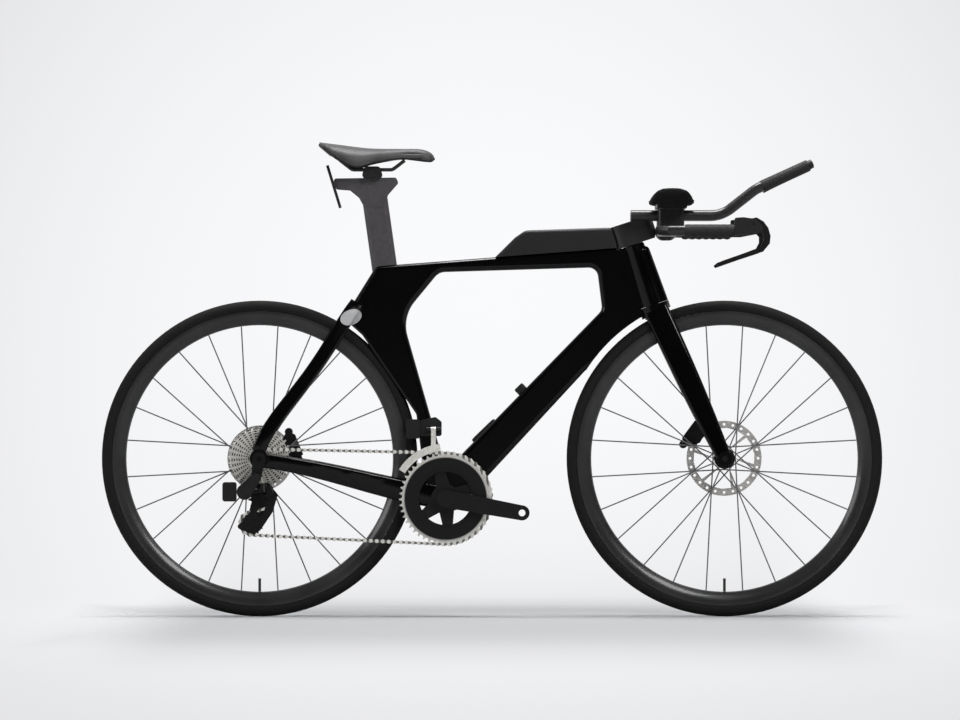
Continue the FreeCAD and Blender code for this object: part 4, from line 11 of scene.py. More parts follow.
import bmesh
import bpy
import numpy as np
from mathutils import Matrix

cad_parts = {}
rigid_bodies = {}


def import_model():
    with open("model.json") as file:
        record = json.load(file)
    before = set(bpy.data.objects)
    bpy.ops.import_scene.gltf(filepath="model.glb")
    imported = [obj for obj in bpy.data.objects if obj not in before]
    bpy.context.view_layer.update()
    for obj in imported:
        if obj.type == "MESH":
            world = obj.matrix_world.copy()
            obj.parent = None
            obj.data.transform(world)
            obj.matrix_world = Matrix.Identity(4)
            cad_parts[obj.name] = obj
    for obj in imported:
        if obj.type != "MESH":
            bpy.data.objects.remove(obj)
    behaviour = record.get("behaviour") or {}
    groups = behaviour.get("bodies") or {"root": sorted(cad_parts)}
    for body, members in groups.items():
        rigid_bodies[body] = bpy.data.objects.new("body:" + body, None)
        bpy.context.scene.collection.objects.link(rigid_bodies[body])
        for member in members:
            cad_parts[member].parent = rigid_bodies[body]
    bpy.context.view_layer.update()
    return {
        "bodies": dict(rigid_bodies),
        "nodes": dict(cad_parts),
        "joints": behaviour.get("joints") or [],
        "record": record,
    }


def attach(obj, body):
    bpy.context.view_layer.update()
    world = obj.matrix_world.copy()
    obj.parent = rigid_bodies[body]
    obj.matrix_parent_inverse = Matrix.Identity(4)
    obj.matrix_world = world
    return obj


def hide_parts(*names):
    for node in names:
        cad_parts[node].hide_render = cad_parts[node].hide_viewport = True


LOG = logging.getLogger("bicycle")

Array = np.ndarray
Socket = bpy.types.NodeSocket
Pair = tuple[float, float]
Point = tuple[float, float, float]
Colour = tuple[float, float, float]

MIRROR = np.array([1.0, -1.0, 1.0], dtype=np.float32)
WELD_DISTANCE = 0.000001
NO_DISTANCE = 1e-9
UNIT = (0.0, 1.0)


@dataclass(frozen=True)
class Graph:
    """The nodes of one material or world.

    Attributes:
        tree: the nodes.
    """

    tree: bpy.types.NodeTree

    def add(self, kind: str, inputs: dict | None = None, **settings: str) -> bpy.types.Node:
        """Adds one node.

        Args:
            kind: the node's type, without the word that all types start with.
            inputs: what each input takes, by name or number: a socket or a value.
            settings: the node's own settings.

        Returns:
            The node.
        """
        node = self.tree.nodes.new("ShaderNode" + kind)
        for name, value in settings.items():
            setattr(node, name, value)
        for name, value in (inputs or {}).items():
            self.feed(node.inputs[name], value)
        return node

    def feed(self, entry: Socket, value: Socket | float | tuple[float, ...]) -> None:
        """Links a socket to an input, or sets the input to a value.

        Args:
            entry: the input.
            value: the socket or the value.
        """
        if isinstance(value, Socket):
            self.tree.links.new(value, entry)
        else:
            entry.default_value = value

    def calc(self, operation: str, first: Socket, second: Socket | float = 0.0) -> Socket:
        """The result of a math operation on one or two numbers."""
        return self.add("Math", {0: first, 1: second}, operation=operation).outputs["Value"]

    def parts(self, vector: Socket) -> tuple[Socket, ...]:
        """The X, Y and Z of a vector."""
        return tuple(self.add("SeparateXYZ", {"Vector": vector}).outputs)

    def noise(self, point: Socket, scale: float, detail: float) -> Socket:
        """A noise with this many grains per metre and this many octaves."""
        return self.add("TexNoise", {"Vector": point, "Scale": scale, "Detail": detail}).outputs["Fac"]

    def carry(self, value: Socket, source: Pair, target: Pair = UNIT, shape: str = "LINEAR") -> Socket:
        """Carries a value from one range to another and holds it at both ends.

        Args:
            value: the value.
            source: the range that it comes in.
            target: the range that it leaves in.
            shape: kind of line between the ends.

        Returns:
            The socket of the result.
        """
        names = ("Value", "From Min", "From Max", "To Min", "To Max")
        inputs = dict(zip(names, (value, *source, *target), strict=True))
        return self.add("MapRange", inputs, interpolation_type=shape).outputs["Result"]

    def fade(self, value: Socket, empty: float, full: float) -> Socket:
        """A smooth step that is 0 where the value is empty and 1 where it is full."""
        target = UNIT if empty < full else UNIT[::-1]
        return self.carry(value, (min(empty, full), max(empty, full)), target, "SMOOTHSTEP")

    def mix(self, kind: str, share: Socket, first: Socket, second: float | tuple[float, ...]) -> Socket:
        """Mixes two values by a share.

        Args:
            kind: FLOAT for numbers and RGBA for colours.
            share: share of the second value.
            first: socket of the first value.
            second: the second value.

        Returns:
            The socket of the result.
        """
        node = self.add("Mix", data_type=kind)
        entries = [entry for entry in node.inputs if entry.enabled]
        for entry, value in zip(entries, (share, first, second), strict=True):
            self.feed(entry, value)
        return next(result for result in node.outputs if result.enabled)


class Grain(Enum):
    """The small relief that a finish shows close up."""

    SMOOTH = "smooth"
    PEBBLE = "pebble"
    HIDE = "hide"
    BRUSHED = "brushed"
    WEAVE = "weave"
    TREAD = "tread"


@dataclass(frozen=True, kw_only=True)
class Mark:
    """A part of a finish that looks different.

    Attributes:
        colour: the colour there, linear.
        roughness: the roughness there.
        metallic: 1 where bare metal shows.
    """

    colour: Colour
    roughness: float
    metallic: float = 0.0

    def mask(self, graph: Graph, point: Socket) -> Socket:
        """A value of 1 where the finish changes and 0 elsewhere.

        Args:
            graph: the material's nodes.
            point: socket of the place on the object.

        Returns:
            The socket that carries the value.
        """
        raise NotImplementedError


@dataclass(frozen=True, kw_only=True)
class Oval(Mark):
    """The inside or the outside of an oval, seen from the side.

    Attributes:
        centre: middle of the oval, ahead and up.
        radii: half its length and half its height.
        tilt: degrees by which its front end is raised.
        outside: whether the change is outside the oval.
        blur: share of the radius by which its edge is soft.
        reach: half its width, more than any piece has.
    """

    centre: Pair
    radii: Pair
    tilt: float = 0.0
    outside: bool = False
    blur: float = 0.015
    reach: float = 1000.0

    def mask(self, graph: Graph, point: Socket) -> Socket:
        """Moves the point to the oval's middle, turns it and divides it by the radii: the edge is at 1.

        Args:
            graph: the material's nodes.
            point: socket of the place on the object.

        Returns:
            The socket of a value that is 1 in the mark.
        """
        local = graph.add("Mapping", {
            "Vector": point,
            "Location": (self.centre[0], 0.0, self.centre[1]),
            "Rotation": (0.0, -math.radians(self.tilt), 0.0),
            "Scale": (self.radii[0], self.reach, self.radii[1]),
        }, vector_type="TEXTURE")
        length = graph.add("VectorMath", {0: local.outputs["Vector"]}, operation="LENGTH")
        edge = (1.0 - self.blur, 1.0 + self.blur)
        return graph.carry(length.outputs["Value"], edge if self.outside else edge[::-1])


@dataclass(frozen=True, kw_only=True)
class ShadeLattice(Mark):
    """Painted shade in rings round a centre, for the shade in the gaps between the teeth of stacked cogs.

    Attributes:
        centre: middle of the rings, ahead and up.
        pitch: distance from ring to ring.
        gaps: number of gaps in one ring.
        share: share of each step of radius, and of angle, that a gap takes.
    """

    centre: Pair
    pitch: float = 0.0052
    gaps: int = 30
    share: float = 0.5

    def mask(self, graph: Graph, point: Socket) -> Socket:
        """1 in the first share of each step of angle within the first share of each step of radius.

        Args:
            graph: the material's nodes.
            point: socket of the place on the object.

        Returns:
            The socket of a value that is 1 in the painted shade.
        """
        calc = graph.calc
        centre = (self.centre[0], 0.0, self.centre[1])
        local = graph.add("VectorMath", {0: point, 1: centre}, operation="SUBTRACT")
        x, _, z = graph.parts(local.outputs["Vector"])
        radius = calc("SQRT", calc("ADD", calc("MULTIPLY", x, x), calc("MULTIPLY", z, z)))
        ring = calc("MULTIPLY", radius, 1.0 / self.pitch)
        turn = calc("MULTIPLY", calc("ARCTAN2", z, x), self.gaps / (2.0 * math.pi))
        inside = (calc("LESS_THAN", calc("FRACT", step), self.share) for step in (ring, turn))
        return calc("MULTIPLY", *inside)


@dataclass(frozen=True, kw_only=True)
class ShadeDashes(Mark):
    """Dark dashes along the length: painted shade in the gaps between a chain's plates.

    Attributes:
        pitch: length of one dash and the gap after it.
        share: share of the pitch that the dash takes.
    """

    pitch: float = 0.0127
    share: float = 0.42

    def mask(self, graph: Graph, point: Socket) -> Socket:
        """1 in the first share of each pitch ahead, where the painted shade lies."""
        step = graph.calc("MULTIPLY", graph.parts(point)[0], 1.0 / self.pitch)
        return graph.calc("LESS_THAN", graph.calc("FRACT", step), self.share)


@dataclass(frozen=True)
class Finish:
    """One surface finish, worn as a Principled material.

    Attributes:
        name: name of the material.
        colour: main colour, linear.
        roughness: middle roughness.
        metallic: 1 for bare metal.
        coat: weight of the clear coat.
        grain: kind of relief.
        grain_size: size of one grain, in metres.
        grain_depth: height of the relief, in metres.
        mottle: share by which the colour varies from place to place.
        sheen: weight of the cloth sheen.
        specular: strength of the plain gloss; 0.5 is a polished plastic.
        mark: an area with another look, if any.
        patch: size of one patch of the mottle, in grains.
        octaves: octaves of the mottle's noise and of the grain's.
        unevenness: share by which the roughness varies.
        coat_roughness: roughness of the clear coat.
        ends: values of the slow noise with the darkest and the lightest shade.
        brushing: how much less a brushed grain changes along the length than across.
        wave: grains in one wave of a weave or a tread.
        wobble: distortion of those waves.
    """

    name: str
    colour: Colour
    roughness: float
    metallic: float = 0.0
    coat: float = 0.0
    grain: Grain = Grain.SMOOTH
    grain_size: float = 0.002
    grain_depth: float = 0.0
    mottle: float = 0.12
    sheen: float = 0.0
    specular: float = 0.25
    mark: Mark | None = None
    patch: float = 12.0
    octaves: Pair = (3.0, 2.0)
    unevenness: float = 0.15
    coat_roughness: float = 0.06
    ends: Pair = (0.3, 0.7)
    brushing: float = 0.06
    wave: float = 6.0
    wobble: float = 0.4

    def build(self) -> bpy.types.Material:
        """Makes the material: mottled colour, uneven roughness, the mark and a bump for the grain.

        Returns:
            The finished material.
        """
        material = bpy.data.materials.new(self.name)
        material.use_nodes = True
        graph = Graph(material.node_tree)
        place = graph.add("TexCoord")
        point = place.outputs["Object"]
        slow = graph.noise(point, 1.0 / (self.patch * self.grain_size), self.octaves[0])
        smoothest = self.roughness * (1.0 - self.unevenness)
        roughest = min(1.0, self.roughness * (1.0 + self.unevenness))
        looks = {
            "Base Color": self._tint(graph, slow),
            "Roughness": graph.carry(slow, UNIT, (smoothest, roughest)),
            "Metallic": self.metallic,
            "Coat Weight": self.coat,
            "Coat Roughness": self.coat_roughness,
            "Sheen Weight": self.sheen,
            "Specular IOR Level": self.specular,
        }
        if self.mark is not None:
            mask = self.mark.mask(graph, point)
            looks["Base Color"] = graph.mix("RGBA", mask, looks["Base Color"], (*self.mark.colour, 1.0))
            looks["Roughness"] = graph.mix("FLOAT", mask, looks["Roughness"], self.mark.roughness)
            if self.mark.metallic != self.metallic:
                looks["Metallic"] = graph.carry(mask, UNIT, (self.metallic, self.mark.metallic))
        if self.grain is not Grain.SMOOTH:
            relief = {"Distance": self.grain_depth, "Height": self._height(graph, place)}
            looks["Normal"] = graph.add("Bump", relief).outputs["Normal"]
        shader = graph.tree.nodes["Principled BSDF"]
        for name, value in looks.items():
            graph.feed(shader.inputs[name], value)
        return material

    def _tint(self, graph: Graph, noise: Socket) -> Socket:
        """A darker and a lighter shade of the colour, mixed by the slow noise.

        Args:
            graph: the material's nodes.
            noise: socket of the slow noise.

        Returns:
            The socket of the colour.
        """
        ramp = graph.add("ValToRGB", {"Fac": noise})
        shades = (1.0 - self.mottle, 1.0 + self.mottle)
        for stop, position, shade in zip(ramp.color_ramp.elements, self.ends, shades, strict=True):
            stop.position = position
            stop.color = (*(min(1.0, c * shade) for c in self.colour), 1.0)
        return ramp.outputs["Color"]

    def _height(self, graph: Graph, place: bpy.types.Node) -> Socket:
        """The height of the grain.

        Args:
            graph: the material's nodes.
            place: the texture coordinate node.

        Returns:
            The socket that carries the height.
        """
        density = 1.0 / self.grain_size
        point = place.outputs["UV" if self.grain is Grain.TREAD else "Object"]
        if self.grain is Grain.HIDE:
            return graph.add("TexVoronoi", {"Vector": point, "Scale": density}).outputs["Distance"]
        if self.grain in (Grain.WEAVE, Grain.TREAD):
            waves = {"Vector": point, "Scale": density / self.wave, "Distortion": self.wobble}
            return graph.add("TexWave", waves, bands_direction="DIAGONAL").outputs["Fac"]
        if self.grain is Grain.BRUSHED:
            stretch = {"Vector": point, "Scale": (self.brushing, 1.0, 1.0)}
            point = graph.add("Mapping", stretch).outputs["Vector"]
        return graph.noise(point, density, self.octaves[1])


class Palette(Enum):
    """Every finish on the bicycle."""

    PAINT = Finish("gloss_black_paint", (0.0010, 0.0010, 0.0011), 0.15, coat=0.1, grain_size=0.02, mottle=0.2,
                   specular=0.17, mark=Oval(centre=(-0.3000, 0.6365), radii=(0.0235, 0.0160), tilt=22.0,
                                            colour=(0.34, 0.34, 0.35), roughness=0.4))
    POST = Finish("satin_grey_carbon", (0.056, 0.052, 0.055), 0.42, coat=0.1, grain=Grain.PEBBLE,
                  grain_size=0.0006, grain_depth=0.00003)
    BAR = Finish("satin_black_carbon", (0.013, 0.0125, 0.013), 0.34, coat=0.2, grain=Grain.PEBBLE,
                 grain_size=0.0006, grain_depth=0.00003)
    BOX = Finish("box_moulding", (0.0062, 0.0059, 0.0062), 0.5, grain=Grain.PEBBLE, grain_size=0.0008,
                 grain_depth=0.00005)
    RIM = Finish("rim_carbon", (0.020, 0.020, 0.0205), 0.3, coat=0.15, grain_size=0.01, mottle=0.3)
    TYRE = Finish("tyre_rubber", (0.0075, 0.0074, 0.0071), 0.75, grain=Grain.TREAD, grain_size=0.0015,
                  grain_depth=0.00012, specular=0.12)
    SPOKE = Finish("spoke_grey", (0.15, 0.15, 0.155), 0.35, metallic=0.5)
    STEEL = Finish("bright_steel", (0.80, 0.78, 0.73), 0.36, metallic=0.7, grain=Grain.BRUSHED,
                   grain_size=0.0004, grain_depth=0.00002, specular=0.5)
    # The chain's dark dashes are painted shade between its plates.
    CHAIN = Finish("chain_steel", (0.80, 0.78, 0.73), 0.36, metallic=0.7, grain=Grain.BRUSHED,
                   grain_size=0.0006, grain_depth=0.00003,
                   mark=ShadeDashes(colour=(0.16, 0.155, 0.145), roughness=0.4, metallic=0.7))
    # The cogs' dark lattice is painted shade between their teeth.
    COGS = Finish("cog_steel", (0.70, 0.68, 0.64), 0.36, metallic=0.7, grain=Grain.BRUSHED,
                  grain_size=0.0006, grain_depth=0.00003,
                  mark=ShadeLattice(centre=(-0.49458, 0.3360), colour=(0.012, 0.012, 0.012), roughness=0.5))
    ROTOR = Finish("rotor_steel", (0.54, 0.52, 0.50), 0.36, metallic=0.75, grain=Grain.BRUSHED,
                   grain_size=0.0004, grain_depth=0.00002, specular=0.5)
    ALLOY = Finish("black_alloy", (0.006, 0.006, 0.0063), 0.34, metallic=0.3, grain=Grain.PEBBLE,
                   grain_size=0.0004, grain_depth=0.00002)
    CRANK = Finish("crank_grey", (0.0075, 0.0075, 0.008), 0.36, metallic=0.3, coat=0.15, grain=Grain.PEBBLE,
                   grain_size=0.0005, grain_depth=0.00002)
    RING = Finish("ring_black", (0.0075, 0.0075, 0.008), 0.38, metallic=0.3, grain=Grain.BRUSHED,
                  grain_size=0.0004, grain_depth=0.00002,
                  mark=Oval(centre=(-0.0986, 0.2510), radii=(0.0878, 0.0878), outside=True,
                            colour=(0.74, 0.72, 0.68), roughness=0.34, metallic=0.75))
    PLASTIC = Finish("black_plastic", (0.006, 0.006, 0.0063), 0.45, grain=Grain.PEBBLE, grain_size=0.0006,
                     grain_depth=0.00004)
    LINING = Finish("brake_lining", (0.070, 0.055, 0.045), 0.8, grain=Grain.PEBBLE, grain_size=0.0008,
                    grain_depth=0.00008)
    GRIP = Finish("grip_rubber", (0.0098, 0.0094, 0.0096), 0.62, grain=Grain.PEBBLE, grain_size=0.0007,
                  grain_depth=0.00006)
    SKIN = Finish("saddle_skin", (0.031, 0.029, 0.030), 0.5, grain=Grain.HIDE, grain_size=0.0018,
                  grain_depth=0.00006, sheen=0.05)
    FOAM = Finish("arm_pad_cloth", (0.0022, 0.0022, 0.0023), 0.85, grain=Grain.WEAVE, grain_size=0.0012,
                  grain_depth=0.0001, sheen=0.04, specular=0.12)


@dataclass(frozen=True)
class Photograph:
    """What the photograph's framing says, in its own pixels and in metres.

    Attributes:
        columns: width of the picture in pixels.
        rows: height of the picture in pixels.
        metres_per_pixel: scale in the plane of the wheels.
        origin_column: column of the point between both tyre contacts.
        ground_row: row of the tyre contacts.
    """

    columns: int = 960
    rows: int = 720
    metres_per_pixel: float = 0.0021286
    origin_column: float = 492.05
    ground_row: float = 616.3

    def width(self) -> float:
        """Width of the picture in the plane of the wheels."""
        return self.columns * self.metres_per_pixel

    def centre(self) -> Point:
        """The point in the plane of the wheels that the picture is centred on.

        Returns:
            The point, in metres.
        """
        across = (self.columns / 2 - self.origin_column) * self.metres_per_pixel
        height = (self.ground_row - self.rows / 2) * self.metres_per_pixel
        return across, 0.0, height


@dataclass(frozen=True)
class Paper:
    """The sweep's paper: it takes shadows near the object and is evenly bright elsewhere.

    Its glow is only seen, by camera, mirror and glass rays, and lights nothing. It falls with the square of
    the distance from the picture's middle, and with the distance in front of the object. Under the object
    a painted shade darkens the paper's colour and its glow. From its back it is clear, so that a camera
    behind the wall sees the object.

    Attributes:
        colour: colour of the paper where it takes shadows.
        tint: colour of its glow.
        backdrop: brightness of the glow in the middle of the picture.
        dimmest: least brightness of the glow far from the object, and of the room round it.
        middle: height of the picture's middle.
        falls: loss with the square of the distance across and up, and with each metre in front.
        shade: share of its brightness that the paper loses right under the object, as a painted shade.
        shade_along: distance ahead or behind the middle where the shade is nothing and where it is full.
        shade_reach: how far the shade reaches behind the plane of the wheels and in front of it.
        shade_core: share of that reach in which the shade is full.
        glow_along: distance ahead or behind the middle where the paper is matt and where it glows.
        glow_across: distance in front of the wheels where the paper is matt and where it glows.
        glow_behind: how many times nearer this is behind the wheels.
        reflected: places in front between which the glow that mirrors show fades in.
    """

    colour: Colour = (0.50, 0.505, 0.515)
    tint: Colour = (0.982, 0.986, 1.0)
    backdrop: float = 0.985
    dimmest: float = 0.80
    middle: float = 0.55
    falls: Point = (0.085, 0.079, 0.018)
    shade: float = 0.30
    shade_along: Pair = (0.82, 0.58)
    shade_reach: Pair = (3.4, 4.8)
    shade_core: float = 0.1
    glow_along: Pair = (0.74, 0.94)
    glow_across: Pair = (0.8, 3.0)
    glow_behind: float = 2.2
    reflected: Pair = (-14.0, -9.0)

    def build(self) -> bpy.types.Material:
        """Makes the paper's material.

        Returns:
            The material.
        """
        material = bpy.data.materials.new("sweep_paper")
        material.use_nodes = True
        graph = Graph(material.node_tree)
        graph.tree.nodes.remove(graph.tree.nodes["Principled BSDF"])
        calc = graph.calc
        x, y, z = graph.parts(graph.add("TexCoord").outputs["Object"])
        side = calc("ABSOLUTE", x)
        # The painted shade under the object darkens both the matt colour and the glow.
        kept = self._kept(graph, side, y)
        tone = graph.add("VectorMath", {0: self.colour, "Scale": kept}, operation="SCALE")
        matt = graph.add("BsdfDiffuse", {"Color": tone.outputs["Vector"]})
        strength = calc("MULTIPLY", self._level(graph, x, y, z), kept)
        glow = graph.add("Emission", {"Color": (*self.tint, 1.0), "Strength": strength})
        far = calc("MAXIMUM", calc("MULTIPLY", y, self.glow_behind), calc("MULTIPLY", y, -1.0))
        glowing = calc("MAXIMUM", graph.fade(far, *self.glow_across), graph.fade(side, *self.glow_along))
        rays = graph.add("LightPath").outputs
        in_mirrors = calc("MULTIPLY", rays["Is Glossy Ray"], graph.fade(y, *self.reflected))
        seen = calc("MAXIMUM", rays["Is Camera Ray"], in_mirrors)
        seen = calc("MAXIMUM", seen, rays["Is Transmission Ray"])
        front = graph.add("MixShader", {
            "Fac": calc("MULTIPLY", seen, glowing),
            1: matt.outputs["BSDF"],
            2: glow.outputs["Emission"],
        })
        sided = graph.add("MixShader", {
            "Fac": graph.add("NewGeometry").outputs["Backfacing"],
            1: front.outputs["Shader"],
            2: graph.add("BsdfTransparent").outputs["BSDF"],
        })
        graph.feed(graph.tree.nodes["Material Output"].inputs["Surface"], sided.outputs["Shader"])
        return material

    def _kept(self, graph: Graph, side: Socket, y: Socket) -> Socket:
        """The share of its brightness that the paper keeps: 1 less the painted shade, which fades out all
        round.

        Args:
            graph: the material's nodes.
            side: distance ahead of the middle or behind it.
            y: place across.

        Returns:
            The socket of the share.
        """
        behind, front = self.shade_reach
        reach = (graph.calc("MULTIPLY", y, 1.0 / distance) for distance in (behind, -front))
        across = graph.fade(graph.calc("MAXIMUM", *reach), 1.0, self.shade_core)
        under = graph.calc("MULTIPLY", graph.fade(side, *self.shade_along), across)
        return graph.calc("ADD", graph.calc("MULTIPLY", under, -self.shade), 1.0)

    def _level(self, graph: Graph, x: Socket, y: Socket, z: Socket) -> Socket:
        """The brightness of the glow without the shade: the middle's less each fall, or the dimmest.

        Args:
            graph: the material's nodes.
            x: place ahead.
            y: place across.
            z: height.

        Returns:
            The socket of the brightness.
        """
        calc = graph.calc
        height = calc("SUBTRACT", z, self.middle)
        fall_x, fall_z = (calc("MULTIPLY", calc("MULTIPLY", place, place), -fall)
                          for place, fall in zip((x, height), self.falls))
        front = calc("MULTIPLY", calc("MINIMUM", y), self.falls[2])
        level = calc("ADD", calc("ADD", fall_x, fall_z), calc("ADD", front, self.backdrop))
        return calc("MAXIMUM", level, self.dimmest)


@dataclass(frozen=True)
class Lamp:
    """One square softbox.

    Attributes:
        name: name of the lamp.
        spot: where it hangs.
        aim: the point that it faces.
        size: side of the square.
        power: watts.
    """

    name: str
    spot: Point
    aim: Point
    size: float
    power: float

    def hang(self) -> None:
        """Adds the lamp, with its -Z axis turned to the aim."""
        data = bpy.data.lights.new(self.name, "AREA")
        data.size = self.size
        data.energy = self.power
        lamp = placed(self.name, data)
        lamp.location = self.spot
        heading = np.subtract(self.aim, self.spot)
        x, y, z = heading / np.linalg.norm(heading)
        lamp.rotation_euler = (math.acos(-z), 0.0, math.atan2(y, x) - math.pi / 2)


@dataclass
class Studio:
    """A pale sweep, soft lamps and the camera.

    Attributes:
        photo: the photograph's framing.
        paper: the sweep's paper.
        lamps: the softboxes.
        distance: from the camera to the plane of the wheels.
        sensor: width of the camera's sensor in millimetres.
        sight: the furthest that the camera sees.
        sky: colour of the light from all round.
        daylight: its strength from above and behind.
        dimness: its strength from the camera's side.
        dusk: how far a direction points away from the camera where that light is dim and where it is full.
        floor: how far the sweep's floor reaches in front of the object.
        wall: distance of the sweep's wall behind the object.
        wall_height: height of the wall.
        half_width: half the sweep's width.
        bend: radius of the sweep's bend.
        bend_points: points along the bend.
    """

    photo: Photograph = field(default_factory=Photograph)
    paper: Paper = field(default_factory=Paper)
    lamps: tuple[Lamp, ...] = (
        Lamp("key", (2.0, -4.0, 3.4), (0.0, 0.0, 0.5), 1.8, 180.0),
        Lamp("fill", (-4.2, -3.2, 1.8), (-0.2, 0.0, 0.5), 1.8, 80.0),
        Lamp("top", (0.0, 0.1, 3.2), (0.0, 0.0, 0.4), 1.2, 120.0),
    )
    distance: float = 24.0
    sensor: float = 36.0
    sight: float = 60.0
    sky: Colour = (0.96, 0.97, 1.0)
    daylight: float = 0.42
    dimness: float = 0.03
    dusk: Pair = (-0.75, 0.15)
    floor: float = 40.0
    wall: float = 3.2
    wall_height: float = 8.0
    half_width: float = 30.0
    bend: float = 1.2
    bend_points: int = 17

    def build(self) -> None:
        """Makes the camera, the world, the sweep and the lamps."""
        self._camera()
        self._world()
        self._sweep()
        for lamp in self.lamps:
            lamp.hang()
        bpy.context.scene.view_settings.view_transform = "Standard"

    def _camera(self) -> None:
        """A long lens that frames the object as the photograph does."""
        data = bpy.data.cameras.new("camera")
        data.sensor_fit = "HORIZONTAL"
        data.sensor_width = self.sensor
        data.lens = self.sensor * self.distance / self.photo.width()
        data.clip_end = self.sight
        camera = placed("camera", data)
        across, _, height = self.photo.centre()
        camera.location = (across, -self.distance, height)
        camera.rotation_euler = (math.pi / 2, 0.0, 0.0)
        bpy.context.scene.camera = camera

    def _world(self) -> None:
        """Light from above and behind, little from the camera's side, and a pale room for the camera."""
        world = bpy.data.worlds.new("studio")
        world.use_nodes = True
        graph = Graph(world.node_tree)
        _, depth, _ = graph.parts(graph.add("TexCoord").outputs["Generated"])
        light = graph.carry(depth, self.dusk, (self.dimness, self.daylight), "SMOOTHSTEP")
        rays = graph.add("LightPath").outputs
        room = graph.calc("MULTIPLY", rays["Is Camera Ray"], self.paper.dimmest)
        ground = graph.tree.nodes["Background"]
        graph.feed(ground.inputs["Color"], (*self.sky, 1.0))
        graph.feed(ground.inputs["Strength"], graph.calc("MAXIMUM", light, room))
        bpy.context.scene.world = world

    def _sweep(self) -> None:
        """A floor that bends up into a wall: a profile of floor, arc and wall carried across."""
        turn = np.linspace(0.0, math.pi / 2, self.bend_points)
        depth = self.wall - self.bend + self.bend * np.sin(turn)
        arc = np.stack([depth, self.bend - self.bend * np.cos(turn)], 1)
        profile = np.concatenate([[[-self.floor, 0.0]], arc, [[self.wall, self.wall_height]]])
        grid = np.empty((len(profile), 2, 3))
        grid[..., 0] = (-self.half_width, self.half_width)
        grid[..., 1:] = profile[:, None]
        sweep = surface("sweep", grid)
        sweep.data.materials.append(self.paper.build())


def placed(name: str, data: bpy.types.ID) -> bpy.types.Object:
    """Puts a new object in the scene.

    Args:
        name: name of the object.
        data: its mesh, lamp or camera.

    Returns:
        The object.
    """
    piece = bpy.data.objects.new(name, data)
    bpy.context.scene.collection.objects.link(piece)
    return piece


def full_turn(count: int) -> Array:
    """Angles of points evenly round a circle."""
    return np.linspace(0.0, 2.0 * math.pi, count, endpoint=False)


def half_turn(count: int) -> Array:
    """Angles from a quarter turn below to a quarter turn above."""
    return np.linspace(-math.pi / 2, math.pi / 2, count)


def crowded_ends(count: int) -> Array:
    """Shares from 0 to 1 that lie closer together near both ends."""
    return (1.0 - np.cos(np.linspace(0.0, math.pi, count))) / 2.0


def squared(wave: Array, power: float) -> Array:
    """A sine or cosine made squarer: an oval drawn with it is an ellipse at power 2 and squarer above."""
    return np.sign(wave) * np.abs(wave) ** (2.0 / power)


def bell(distance: Array, width: float, power: int = 2) -> Array:
    """A smooth hump: 1 at no distance, nearly 0 beyond the width."""
    return np.exp(-np.abs(distance / width) ** power)


def through(share: Array, stations: tuple[tuple[float, ...], ...], column: int) -> Array:
    """A smooth line through a table's stations, read at other shares.

    Between two stations the value is a cubic whose slope at each station is that of its neighbours' chord.

    Args:
        share: where to read.
        stations: rows that start with the share of each station.
        column: the table's column to read.

    Returns:
        The values, one for each share.
    """
    table = np.array(stations)
    knots, values = table[:, 0], table[:, column]
    slopes = np.gradient(values, knots)
    cell = np.clip(np.searchsorted(knots, share, side="right") - 1, 0, len(knots) - 2)
    width = knots[cell + 1] - knots[cell]
    t = (share - knots[cell]) / width
    rise = 3.0 * t**2 - 2.0 * t**3
    leave = (t**3 - 2.0 * t**2 + t) * width * slopes[cell]
    arrive = (t**3 - t**2) * width * slopes[cell + 1]
    return values[cell] * (1.0 - rise) + values[cell + 1] * rise + leave + arrive


def smooth_faces(mesh: bpy.types.Mesh) -> None:
    """Shades every face of a mesh smooth."""
    mesh.polygons.foreach_set("use_smooth", np.full(len(mesh.polygons), True))


def surface(name: str, grid: Array, loop_u: bool = False, loop_v: bool = False, caps: bool = False,
            weld: bool = False) -> bpy.types.Object:
    """A mesh from a grid of points: each cell of the grid is one face.

    Args:
        name: name of the object.
        grid: points, as rows by columns by 3.
        loop_u: whether the last row joins the first.
        loop_v: whether the last column joins the first.
        caps: whether the first and last row are closed by one face each.
        weld: whether points that coincide, as in a pole, become one.

    Returns:
        The new object, with a UV map in shares of the grid.
    """
    rows, columns = grid.shape[:2]
    index = np.arange(rows * columns).reshape(rows, columns)
    u = np.arange(rows if loop_u else rows - 1)
    v = np.arange(columns if loop_v else columns - 1)
    a = index[np.ix_(u, v)]
    b = index[np.ix_(u, (v + 1) % columns)]
    c = index[np.ix_((u + 1) % rows, (v + 1) % columns)]
    d = index[np.ix_((u + 1) % rows, v)]
    faces = np.stack([a, b, c, d], -1).reshape(-1, 4).tolist()
    if caps:
        faces.append(index[0, ::-1].tolist())
        faces.append(index[-1].tolist())
    mesh = bpy.data.meshes.new(name)
    mesh.from_pydata(grid.reshape(-1, 3).tolist(), [], faces)
    mesh.update()
    smooth_faces(mesh)
    corners = np.empty(len(mesh.loops), dtype=np.int32)
    mesh.loops.foreach_get("vertex_index", corners)
    shares = np.stack([corners // columns / rows, corners % columns / columns], -1)
    mesh.uv_layers.new(name="shares").data.foreach_set("uv", shares.astype(np.float32).ravel())
    if weld:
        loose = bmesh.new()
        loose.from_mesh(mesh)
        bmesh.ops.remove_doubles(loose, verts=loose.verts, dist=WELD_DISTANCE)
        loose.to_mesh(mesh)
        loose.free()
    return placed(name, mesh)


